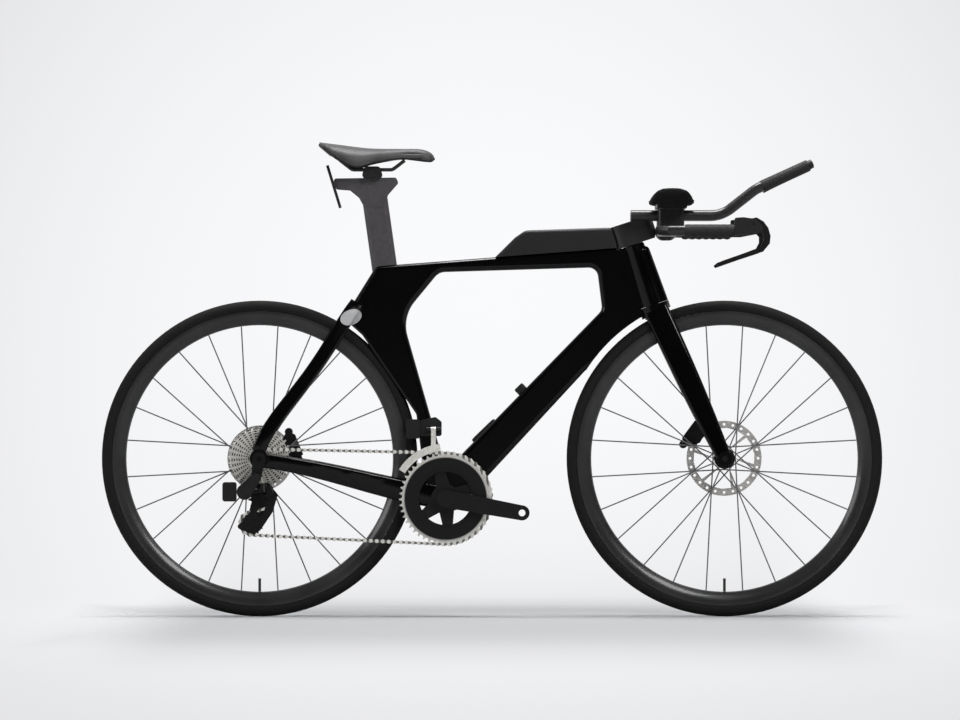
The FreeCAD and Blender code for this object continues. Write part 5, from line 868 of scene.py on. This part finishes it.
def bead(name: str, path: Array, across: Array, radii: Pair, sides: int = 12) -> bpy.types.Object:
    """An oval bead carried along a closed path.

    At each point the oval stands on the path's own direction: one radius lies along the given sideways
    direction and the other at right angles to it.

    Args:
        name: name of the piece.
        path: points of the middle line, the last of which joins the first.
        across: sideways direction at each point, or one for all.
        radii: the oval's sideways radius and its other radius.
        sides: points round the oval.

    Returns:
        The new piece.
    """
    ahead = np.roll(path, -1, 0) - np.roll(path, 1, 0)
    ahead /= np.linalg.norm(ahead, axis=1, keepdims=True)
    side = np.broadcast_to(across, path.shape)
    side = side - ahead * np.sum(side * ahead, 1, keepdims=True)
    side = side / np.linalg.norm(side, axis=1, keepdims=True)
    up = np.cross(ahead, side)
    turn = full_turn(sides)[None, :, None]
    ring = radii[0] * np.cos(turn) * side[:, None] + radii[1] * np.sin(turn) * up[:, None]
    return surface(name, path[:, None] + ring, loop_u=True, loop_v=True)


@dataclass
class Saddle:
    """The padded skin stretched over the saddle's shell, with its rim and its relief channel.

    Attributes:
        tail: place of the tail, ahead of the origin.
        length: from tail to nose.
        stations: along the length, then half width, height of the top and height of the lower edge.
        roundness: power of the section's oval; 2 is an ellipse and more is squarer.
        wall: thickness of skin and padding at the lower edge.
        lining: share of the dome's height that its inner side has.
        channel: depth and half width of the channel along the middle.
        channel_span: share of the length at the channel's middle, and half its length as a share.
        channel_powers: how flat the channel's hump is along and across.
        crease: depth and half height of the fold in each side of the nose.
        crease_span: share of the length at the fold's middle, and half its length as a share.
        crease_power: how flat the fold's hump is along.
        crease_height: height of the fold.
        rim: half width and half height of the rim.
        rim_shift: how far the rim lies inside the lower edge and above it.
        rows: points along the length.
        columns: points across the top.
        rim_points: points along each side of the rim.
    """

    tail: float = -0.3672
    length: float = 0.2437
    stations: tuple[tuple[float, ...], ...] = (
        (0.00, 0.018, 1.0090, 1.0025), (0.03, 0.040, 1.0080, 0.9975), (0.09, 0.058, 1.0062, 0.9850),
        (0.18, 0.066, 1.0035, 0.9700), (0.29, 0.068, 1.0000, 0.9570), (0.34, 0.066, 0.9985, 0.9560),
        (0.44, 0.058, 0.9962, 0.9628), (0.58, 0.041, 0.9955, 0.9698), (0.72, 0.029, 0.9958, 0.9742),
        (0.86, 0.024, 0.9950, 0.9712), (0.94, 0.022, 0.9905, 0.9690), (0.98, 0.017, 0.9850, 0.9695),
        (1.00, 0.008, 0.9795, 0.9735),
    )
    roundness: float = 2.7
    wall: float = 0.0035
    lining: float = 0.86
    channel: Pair = (0.0065, 0.0095)
    channel_span: Pair = (0.46, 0.33)
    channel_powers: tuple[int, int] = (6, 4)
    crease: Pair = (0.0016, 0.0016)
    crease_span: Pair = (0.80, 0.085)
    crease_power: int = 4
    crease_height: float = 0.9842
    rim: Pair = (0.0016, 0.0030)
    rim_shift: Pair = (0.0012, 0.0010)
    rows: int = 170
    columns: int = 121
    rim_points: int = 90

    def build(self, wardrobe: Wardrobe) -> None:
        """Makes the skin and the rim and puts them on the seat.

        Args:
            wardrobe: gives the finishes.
        """
        skin = surface("saddle_skin", self._skin(), loop_v=True, caps=True)
        wardrobe.wear(skin, Palette.SKIN)
        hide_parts("saddle_cover")
        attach(skin, "seat")
        rim = bead("saddle_rim", self._edge(), np.array([0.0, 1.0, 0.0]), self.rim)
        wardrobe.wear(rim, Palette.PLASTIC)
        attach(rim, "seat")
        LOG.info("saddle skin and rim made")

    def _lines(self, share: Array) -> tuple[Array, Array, Array, Array]:
        """Place ahead, half width, top and lower edge at shares of the length."""
        half, top, low = (through(share, self.stations, column) for column in (1, 2, 3))
        return self.tail + self.length * share, half, top, low

    def _skin(self) -> Array:
        """Points of the closed skin: an oval dome over each station, and the same dome inside it.

        Across, y is half width times sine and z is the height times cosine, both made squarer by the
        roundness. The channel and the nose's folds are humps taken off the dome. The inner dome is the outer
        one shrunk by the wall.

        Returns:
            The grid, with the outer dome's columns first and then the inner dome's, in reverse.
        """
        share = crowded_ends(self.rows)
        ahead, half, top, low = (line[:, None] for line in self._lines(share))
        turn = half_turn(self.columns)[None, :]
        y = half * squared(np.sin(turn), self.roundness)
        z = low + (top - low) * squared(np.cos(turn), self.roundness)
        along = share[:, None]
        middle = bell(along - self.channel_span[0], self.channel_span[1], self.channel_powers[0])
        z = z - self.channel[0] * middle * bell(y, self.channel[1], self.channel_powers[1])
        nose = bell(along - self.crease_span[0], self.crease_span[1], self.crease_power)
        y = y - np.sign(y) * self.crease[0] * (nose * bell(z - self.crease_height, self.crease[1]))
        outer = np.stack([np.broadcast_to(ahead, y.shape), y, z], -1)
        inner = outer.copy()
        inner[..., 1] *= 1.0 - self.wall / np.maximum(half, 2.0 * self.wall)
        inner[..., 2] = low + (z - low) * self.lining
        return np.concatenate([outer, inner[:, ::-1]], 1)[:, ::-1]

    def _edge(self) -> Array:
        """The line of the skin's lower edge, along one side and back along the other.

        Returns:
            Points of the closed line.
        """
        ahead, half, _, low = self._lines(crowded_ends(self.rim_points))
        left = np.stack([ahead, half - self.rim_shift[0], low + self.rim_shift[1]], 1)
        return np.concatenate([left, left[::-1] * MIRROR])


def plump(piece: bpy.types.Object, voxel: float, pressure: float, cap: float, frames: int = 20) -> None:
    """Swells a closed form like a filled bag: even mesh, cloth with pressure inside and no gravity.

    Each point keeps its own direction of travel, cut short at the cap.

    Args:
        piece: the closed form, a little smaller than the finished pad.
        voxel: size of the even mesh's cells.
        pressure: pressure inside.
        cap: the furthest that a point may move.
        frames: steps of the simulation.
    """
    even = piece.modifiers.new("even", "REMESH")
    even.mode = "VOXEL"
    even.voxel_size = voxel
    piece.data = settled(piece)
    piece.modifiers.clear()
    start = points_of(piece.data)
    cloth = piece.modifiers.new("cloth", "CLOTH")
    cloth.settings.use_pressure = True
    cloth.settings.uniform_pressure_force = pressure
    cloth.settings.effector_weights.gravity = 0.0
    cloth.point_cache.frame_end = frames
    for frame in range(1, frames + 1):
        bpy.context.scene.frame_set(frame)
    travel = points_of(settled(piece)) - start
    bpy.context.scene.frame_set(1)
    piece.modifiers.clear()
    reach = np.linalg.norm(travel, axis=1, keepdims=True)
    travel *= np.minimum(1.0, cap / np.maximum(reach, NO_DISTANCE))
    piece.data.vertices.foreach_set("co", (start + travel).astype(np.float32).ravel())
    smooth_faces(piece.data)
    piece.data.update()


def settled(piece: bpy.types.Object) -> bpy.types.Mesh:
    """A new mesh of a piece as its modifiers leave it."""
    return bpy.data.meshes.new_from_object(piece.evaluated_get(bpy.context.evaluated_depsgraph_get()))


def points_of(mesh: bpy.types.Mesh) -> Array:
    """Reads a mesh's points.

    Args:
        mesh: the mesh.

    Returns:
        The points, one row each.
    """
    flat = np.empty(len(mesh.vertices) * 3, dtype=np.float32)
    mesh.vertices.foreach_get("co", flat)
    return flat.reshape(-1, 3)


def mirrored(piece: bpy.types.Object, name: str) -> bpy.types.Object:
    """A copy of a piece on the other side of the bicycle, with its faces turned to point outwards.

    Args:
        piece: the piece on one side.
        name: name of the copy.

    Returns:
        The copy.
    """
    mesh = piece.data.copy()
    mesh.vertices.foreach_set("co", (points_of(mesh) * MIRROR).ravel())
    mesh.flip_normals()
    mesh.update()
    return placed(name, mesh)


def refine(piece: bpy.types.Object) -> None:
    """Adds one level of subdivision, in view and render.

    Args:
        piece: the piece.
    """
    smooth = piece.modifiers.new("smooth", "SUBSURF")
    smooth.levels = 1
    smooth.render_levels = 1


def sleeve(name: str, start: Array, heading: Array, along: Array, radius: Array,
           inner: float) -> bpy.types.Object:
    """A closed sleeve round an axis.

    A point is the start, plus its distance along the heading, plus its radius times the turning direction.
    The wall closes on itself along the bore at the inner radius.

    Args:
        name: name of the piece.
        start: where the axis begins.
        heading: direction of the axis.
        along: distances of the rows along the axis.
        radius: outer radius, rows by columns; the first column lies sideways and the next ones turn upwards.
        inner: radius of the bore.

    Returns:
        The new piece.
    """
    up = np.array([0.0, 0.0, 1.0]) - heading * heading[2]
    up /= np.linalg.norm(up)
    side = np.cross(up, heading)
    turn = full_turn(radius.shape[1])[:, None]
    ring = np.cos(turn) * side + np.sin(turn) * up
    middle = start + along[:, None] * heading
    outer = middle[:, None] + radius[..., None] * ring[None]
    bore = middle[[0, -1], None] + inner * ring[None]
    return surface(name, np.concatenate([bore[:1], outer, bore[1:]]), loop_u=True, loop_v=True)


def rounded_ends(along: Array, length: float, corner: float) -> Array:
    """How far a rounded end lies below the full radius: a quarter circle within the corner's reach.

    Args:
        along: distances from one end.
        length: distance from end to end.
        corner: radius of the quarter circle.

    Returns:
        The loss of radius at each distance.
    """
    inside = np.minimum(along, length - along)
    short = np.clip(corner - inside, 0.0, corner)
    return corner - np.sqrt(np.maximum(corner**2 - short**2, 0.0))


@dataclass
class ArmPads:
    """The forearm pads on their cups, each with a sewn edge and a wing of the cup outside it.

    Attributes:
        middle: place of the left pad's middle, with the height of its base.
        half: half its length and half its width.
        heights: height in the middle, then how much more the inner and the outer edge have.
        oblong: power of the outline's oval; 2 is an ellipse and more is squarer.
        fall_ahead: powers of the place ahead, and of 1 less that, by which the crown falls.
        fall_aside: the same across.
        reach: share of the outline at the last ring of the base and the first of the crown.
        rings: number of rings in the base and in the crown.
        seam: height of the sewn edge.
        seam_radii: half width and half height of the sewn edge.
        seam_sink: share of the outline by which the sewn edge is sunk.
        voxel: size of the cells of the pad's even mesh.
        pressure: pressure of the filling.
        cap: how far the filling swells the cover.
        wing_half: half the wing's length at its foot.
        wing_taper: share of the square of that length that is lost at the top.
        wing_foot: how far the wing's foot lies outside the middle and above the base.
        wing_size: how far the wing leans out, how far it rises, and its thickness.
        points: points round the pad.
        seam_points: points along the sewn edge.
        seam_sides: points round it.
        wing_rows: points up the wing.
        wing_points: points along the wing.
    """

    middle: Point = (0.3818, 0.0860, 0.8762)
    half: Pair = (0.0480, 0.0398)
    heights: Point = (0.0205, 0.009, 0.0225)
    oblong: float = 3.2
    fall_ahead: Pair = (2.8, 0.62)
    fall_aside: Pair = (10.0, 0.5)
    reach: Pair = (0.96, 0.985)
    rings: tuple[int, int] = (12, 26)
    seam: float = 0.008
    seam_radii: Pair = (0.0011, 0.0009)
    seam_sink: float = 0.035
    voxel: float = 0.004
    pressure: float = 4.0
    cap: float = 0.0024
    wing_half: float = 0.031
    wing_taper: float = 0.80
    wing_foot: Pair = (0.0388, -0.0085)
    wing_size: Point = (0.0050, 0.0300, 0.0022)
    points: int = 96
    seam_points: int = 120
    seam_sides: int = 8
    wing_rows: int = 24
    wing_points: int = 33

    def build(self, wardrobe: Wardrobe) -> None:
        """Makes the left pad, its seam and its wing, and mirrors them.

        Args:
            wardrobe: gives the finishes.
        """
        pad = surface("arm_pad_left", self._pad(), loop_v=True, weld=True)
        plump(pad, self.voxel, self.pressure, self.cap)
        edge = self._plan(1.0, self.seam_points) + np.array([0.0, 0.0, self.seam])
        edge[:, :2] -= (edge[:, :2] - np.array(self.middle[:2])) * self.seam_sink
        outwards = edge - np.array([*self.middle[:2], self.middle[2] + self.seam])
        seam = bead("arm_pad_seam_left", edge, outwards, self.seam_radii, self.seam_sides)
        wing = surface("arm_pad_wing_left", self._wing(), loop_v=True, caps=True)
        for piece, slot in ((pad, "pad_foam"), (seam, "pad_foam"), (wing, "black_plastic")):
            for each in (piece, mirrored(piece, piece.name.replace("left", "right"))):
                wardrobe.wear(each, Palette.FOAM)
                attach(each, "steering_body")
                if piece is pad:
                    refine(each)
                    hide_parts("arm_pads")
        LOG.info("arm pads made")

    def _plan(self, share: float, count: int) -> Array:
        """Points round the pad's base on a rounded oblong: a squarer cosine ahead and a squarer sine across.

        Args:
            share: share of the outline's size.
            count: number of points.

        Returns:
            The points, one row each.
        """
        turn = full_turn(count)
        x, y = (squared(wave(turn), self.oblong) for wave in (np.cos, np.sin))
        flat = np.stack([x * self.half[0] * share, y * self.half[1] * share, np.zeros(count)], 1)
        return flat + np.array(self.middle)

    def _pad(self) -> Array:
        """Points of the closed pad, from the middle of its base out to the edge and up to the crown.

        The crown's height falls from the middle to all sides as a power of 1 minus a power of the place,
        and before that it is lowest in a trough along the middle, where the forearm lies.

        Returns:
            The grid, rows from base to crown.
        """
        base = np.linspace(0.0, self.reach[0], self.rings[0])
        crown = np.linspace(self.reach[1], 0.0, self.rings[1])
        reach = np.concatenate([base, np.ones(2), crown])
        raised = np.arange(len(reach)) > len(base)
        rings = np.stack([self._plan(share, self.points) for share in reach])
        ahead = (rings[..., 0] - self.middle[0]) / self.half[0]
        aside = (rings[..., 1] - self.middle[1]) / self.half[1]
        low, inner, outer = self.heights
        height = low + inner * np.minimum(aside, 0.0) ** 2 + outer * np.maximum(aside, 0.0) ** 2
        falls = ((ahead, *self.fall_ahead), (aside, *self.fall_aside))
        dome = math.prod(np.maximum(1.0 - np.abs(place) ** power, 0.0) ** root
                         for place, power, root in falls)
        rings[..., 2] += np.where(raised[:, None], self.seam + (height - self.seam) * dome, 0.0)
        return rings

    def _wing(self) -> Array:
        """Points of the cup's outer wing: a plate that leaves the cup's side and rises outside the pad.

        The square of its half length shrinks with the cube of the height, and its side leans out along a
        smooth step.

        Returns:
            The closed grid, rows from bottom to top, columns round the plate.
        """
        lean, height, thickness = self.wing_size
        rise = np.linspace(0.0, 1.0, self.wing_rows)
        step = rise * rise * (3.0 - 2.0 * rise)
        half = self.wing_half * np.sqrt(1.0 - self.wing_taper * rise**3)
        along = np.sin(half_turn(self.wing_points))
        out = np.concatenate([along, along[::-1]])
        wall = np.repeat([thickness, 0.0], self.wing_points)
        grid = np.empty((len(rise), len(out), 3))
        grid[..., 0] = self.middle[0] + half[:, None] * out[None]
        grid[..., 1] = self.middle[1] + self.wing_foot[0] + lean * step[:, None] + wall[None]
        grid[..., 2] = self.middle[2] + self.wing_foot[1] + height * rise[:, None]
        return grid[:, ::-1]


@dataclass(kw_only=True)
class Grips:
    """Rubber sleeves on a pair of bars.

    Attributes:
        length: length of a sleeve.
        radius: its plain outer radius.
        bore: radius of the bar inside.
        rings: height and pitch of the fine rings round it.
        corner: radius of its round ends.
        rows: points along it.
        columns: points round it.
    """

    length: float
    radius: float
    bore: float
    rings: Pair
    corner: float
    rows: int
    columns: int = 64

    def swell(self, along: Array, turn: Array) -> Array:
        """How far the sleeve stands out above its plain radius.

        Args:
            along: distances along the sleeve, as a column.
            turn: angles round it, as a row; a quarter turn is upwards.

        Returns:
            The extra radius for each distance and angle.
        """
        raise NotImplementedError

    def pair(self, name: str, start: Array, heading: Array) -> tuple[bpy.types.Object, bpy.types.Object]:
        """Makes the left sleeve and its twin.

        Args:
            name: what both names start with.
            start: rear end of the left sleeve's axis.
            heading: direction of the axis.

        Returns:
            The left and the right sleeve.
        """
        along = np.linspace(0.0, self.length, self.rows)
        fine = self.rings[0] * np.cos(2.0 * math.pi * along[:, None] / self.rings[1])
        radius = self.radius + self.swell(along[:, None], full_turn(self.columns)[None]) + fine
        radius = radius - rounded_ends(along, self.length, self.corner)[:, None]
        left = sleeve(name + "_left", start, heading, along, radius, self.bore)
        return left, mirrored(left, name + "_right")


@dataclass(kw_only=True)
class BarGrips(Grips):
    """Ribbed grips on the ends of the base bar.

    Attributes:
        start: rear end of the left grip's axis.
        ribs: number of finger ribs.
        rise: how far a rib stands out underneath.
        rise_above: share of the rise that a rib has on top.
        rib_powers: powers that broaden a rib and that gather it underneath.
    """

    length: float = 0.1042
    radius: float = 0.0132
    bore: float = 0.0113
    rings: Pair = (0.00022, 0.0024)
    corner: float = 0.0016
    rows: int = 190
    start: Point = (0.4073, 0.2000, 0.8187)
    ribs: int = 7
    rise: float = 0.0015
    rise_above: float = 0.15
    rib_powers: Pair = (0.8, 1.5)

    def build(self, wardrobe: Wardrobe) -> None:
        """Makes both grips and puts them on the bar.

        Args:
            wardrobe: gives the finishes.
        """
        for piece in self.pair("bar_grip", np.array(self.start), np.array([1.0, 0.0, 0.0])):
            wardrobe.wear(piece, Palette.GRIP)
            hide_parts("bar_grips")
            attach(piece, "steering_body")
        LOG.info("bar grips made")

    def swell(self, along: Array, turn: Array) -> Array:
        """Finger ribs as a raised cosine, fullest underneath.

        Args:
            along: distances along the grip, as a column.
            turn: angles round it, as a row; a quarter turn is upwards.

        Returns:
            The extra radius for each distance and angle.
        """
        broad, low = self.rib_powers
        under = self.rise_above + (1.0 - self.rise_above) * ((1.0 - np.sin(turn)) / 2.0) ** low
        rib = (0.5 - 0.5 * np.cos(2.0 * math.pi * self.ribs * (along / self.length))) ** broad
        return self.rise * rib * under


@dataclass(kw_only=True)
class ExtensionGrips(Grips):
    """Plain sleeves on the raised ends of the extensions.

    Attributes:
        tip: front end of the left sleeve's axis.
        heading: direction of the axis.
        heel: how far its rear end stands out underneath.
        heel_length: length over which the heel fades out.
    """

    length: float = 0.1080
    radius: float = 0.0124
    bore: float = 0.0112
    rings: Pair = (0.00015, 0.0030)
    corner: float = 0.0010
    rows: int = 200
    tip: Point = (0.6720, 0.0600, 0.9592)
    heading: Point = (0.910700, 0.0, 0.413068)
    heel: float = 0.0022
    heel_length: float = 0.030

    def build(self, wardrobe: Wardrobe) -> None:
        """Makes both sleeves and puts them on the extensions.

        Args:
            wardrobe: gives the finishes.
        """
        heading = np.array(self.heading)
        for piece in self.pair("extension_grip", np.array(self.tip) - heading * self.length, heading):
            wardrobe.wear(piece, Palette.GRIP)
            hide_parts("extension_grips")
            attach(piece, "steering_body")
        LOG.info("extension grips made")

    def swell(self, along: Array, turn: Array) -> Array:
        """A heel underneath that fades out ahead."""
        under = ((1.0 - np.sin(turn)) / 2.0) ** 2
        return self.heel * under * np.exp(-along / self.heel_length)


def lozenge(name: str, middle: Point, axes: Array, half: Point, power: float, rows: int = 33,
            columns: int = 64) -> bpy.types.Object:
    """A small block with rounded edges and corners.

    A point is a sphere's point with each sine and cosine made squarer, times the half sizes.

    Args:
        name: name of the piece.
        middle: centre of the block.
        axes: its three directions, one in each row.
        half: half its size along each direction.
        power: 2 is a ball and more is squarer.
        rows: points from bottom to top.
        columns: points round it.

    Returns:
        The new piece.
    """
    rise, turn = half_turn(rows)[:, None], full_turn(columns)[None]
    level, up = (squared(wave(rise), power) for wave in (np.cos, np.sin))
    ahead, aside = (squared(wave(turn), power) for wave in (np.cos, np.sin))
    height = up * np.ones_like(turn) * half[2]
    local = np.stack([level * ahead * half[0], level * aside * half[1], height], -1)
    return surface(name, np.array(middle) + local @ axes, loop_v=True, weld=True)


@dataclass
class FrameTrim:
    """The bottle mount's strip and the port cover on the down tube, and the lip under the stem's rear edge.

    Attributes:
        slope: direction of the down tube, ahead and up.
        blocks: each piece's middle, half its length, width and height, and whether it lies along the slope.
        power: how square the pieces are.
    """

    slope: Pair = (0.7186, 0.6953)
    blocks: dict[str, tuple[Point, Point, bool]] = field(default_factory=lambda: {
        "bottle_strip": ((-0.0165, 0.0, 0.3944), (0.0330, 0.0075, 0.0060), True),
        "port_cover": ((0.0610, 0.0, 0.4835), (0.0115, 0.0090, 0.0085), True),
        "stem_lip": ((0.2720, 0.0, 0.7795), (0.0100, 0.0150, 0.0030), False),
    })
    power: float = 7.0

    def build(self, wardrobe: Wardrobe) -> None:
        """Makes the pieces and puts them on the frame.

        Args:
            wardrobe: gives the finishes.
        """
        ahead, up = self.slope
        sloped = np.array([[ahead, 0.0, up], [0.0, 1.0, 0.0], [-up, 0.0, ahead]])
        for name, (middle, half, on_slope) in self.blocks.items():
            piece = lozenge(name, middle, sloped if on_slope else np.eye(3), half, self.power)
            wardrobe.wear(piece, Palette.PLASTIC)
            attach(piece, "frame_body")
        LOG.info("frame trim made")


NODE_FINISHES: dict[Palette, tuple[str, ...]] = {
    Palette.PAINT: ("frame", "fork", "headset_cover"),
    Palette.POST: ("seatpost",),
    Palette.BAR: ("stem", "base_bar", "extensions", "extension_clamps", "arm_pad_cups", "saddle_clamp",
                  "number_plate_bracket", "seatpost_clamp", "saddle_rails"),
    Palette.BOX: ("storage_box",),
    Palette.RIM: ("front_rim", "rear_rim"),
    Palette.TYRE: ("front_tyre", "rear_tyre"),
    Palette.SPOKE: ("front_spokes", "rear_spokes"),
    Palette.STEEL: ("headset_bearings", "bottom_bracket", "fd_cage"),
    Palette.CHAIN: ("chain",),
    Palette.COGS: ("cassette",),
    Palette.ROTOR: ("front_rotor", "rear_rotor"),
    Palette.ALLOY: ("front_hub", "rear_hub", "front_axle", "rear_axle", "derailleur_hanger", "rd_link",
                    "front_brake_caliper", "rear_brake_caliper", "brake_lever_left", "brake_lever_right",
                    "rd_p_knuckle", "rd_cage"),
    Palette.CRANK: ("crank_arm_right", "crank_arm_left"),
    Palette.RING: ("chainring_big", "chainring_small"),
    Palette.PLASTIC: ("brake_lever_housings", "rear_derailleur_knuckle", "derailleur_batteries",
                      "front_derailleur_body", "guide_pulley", "tension_pulley", "saddle_shell",
                      "shift_button_left", "shift_button_right"),
    Palette.LINING: ("front_brake_pad_left", "front_brake_pad_right", "rear_brake_pad_left",
                     "rear_brake_pad_right"),
    Palette.GRIP: ("bar_grips", "extension_grips"),
    Palette.SKIN: ("saddle_cover",),
    Palette.FOAM: ("arm_pads",),
}


@dataclass
class Wardrobe:
    """Makes each finish once and puts it on solids and pieces.

    Attributes:
        nodes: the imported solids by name.
        made: the materials made so far.
    """

    nodes: dict[str, bpy.types.Object]
    made: dict[Palette, bpy.types.Material] = field(default_factory=dict)

    def material(self, finish: Palette) -> bpy.types.Material:
        """The material of a finish, made at the first call.

        Args:
            finish: the finish.

        Returns:
            Its material.
        """
        if finish not in self.made:
            self.made[finish] = finish.value.build()
        return self.made[finish]

    def wear(self, piece: bpy.types.Object, finish: Palette) -> None:
        """Gives a piece one finish all over.

        Args:
            piece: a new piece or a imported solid.
            finish: its finish.
        """
        if not piece.material_slots:
            piece.data.materials.append(self.material(finish))
        for slot in piece.material_slots:
            slot.material = self.material(finish)

    def dress_solids(self) -> None:
        """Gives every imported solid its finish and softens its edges."""
        for finish, names in NODE_FINISHES.items():
            for name in names:
                solid = self.nodes[name]
                self.wear(solid, finish)
                soften(solid)
                LOG.info("%s wears %s", name, finish.value.name)


def soften(solid: bpy.types.Object, angle: float = 32.0, gap: float = 0.000002) -> None:
    """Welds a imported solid's loose triangles and shades it smooth up to an angle.

    Args:
        solid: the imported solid.
        angle: faces that meet at more than this, in degrees, keep a sharp edge.
        gap: corners nearer than this are welded.
    """
    weld = solid.modifiers.new("weld", "WELD")
    weld.merge_threshold = gap
    split = solid.modifiers.new("sharp", "EDGE_SPLIT")
    split.split_angle = math.radians(angle)
    split.use_edge_sharp = False


def main() -> None:
    """Builds the studio, dresses the solids and adds the modelled pieces."""
    logging.basicConfig(level=logging.INFO, format="%(name)s: %(message)s")
    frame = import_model()
    Studio().build()
    wardrobe = Wardrobe(frame["nodes"])
    wardrobe.dress_solids()
    for assembly in (Saddle(), ArmPads(), BarGrips(), ExtensionGrips(), FrameTrim()):
        assembly.build(wardrobe)


if __name__ == "__main__":
    main()
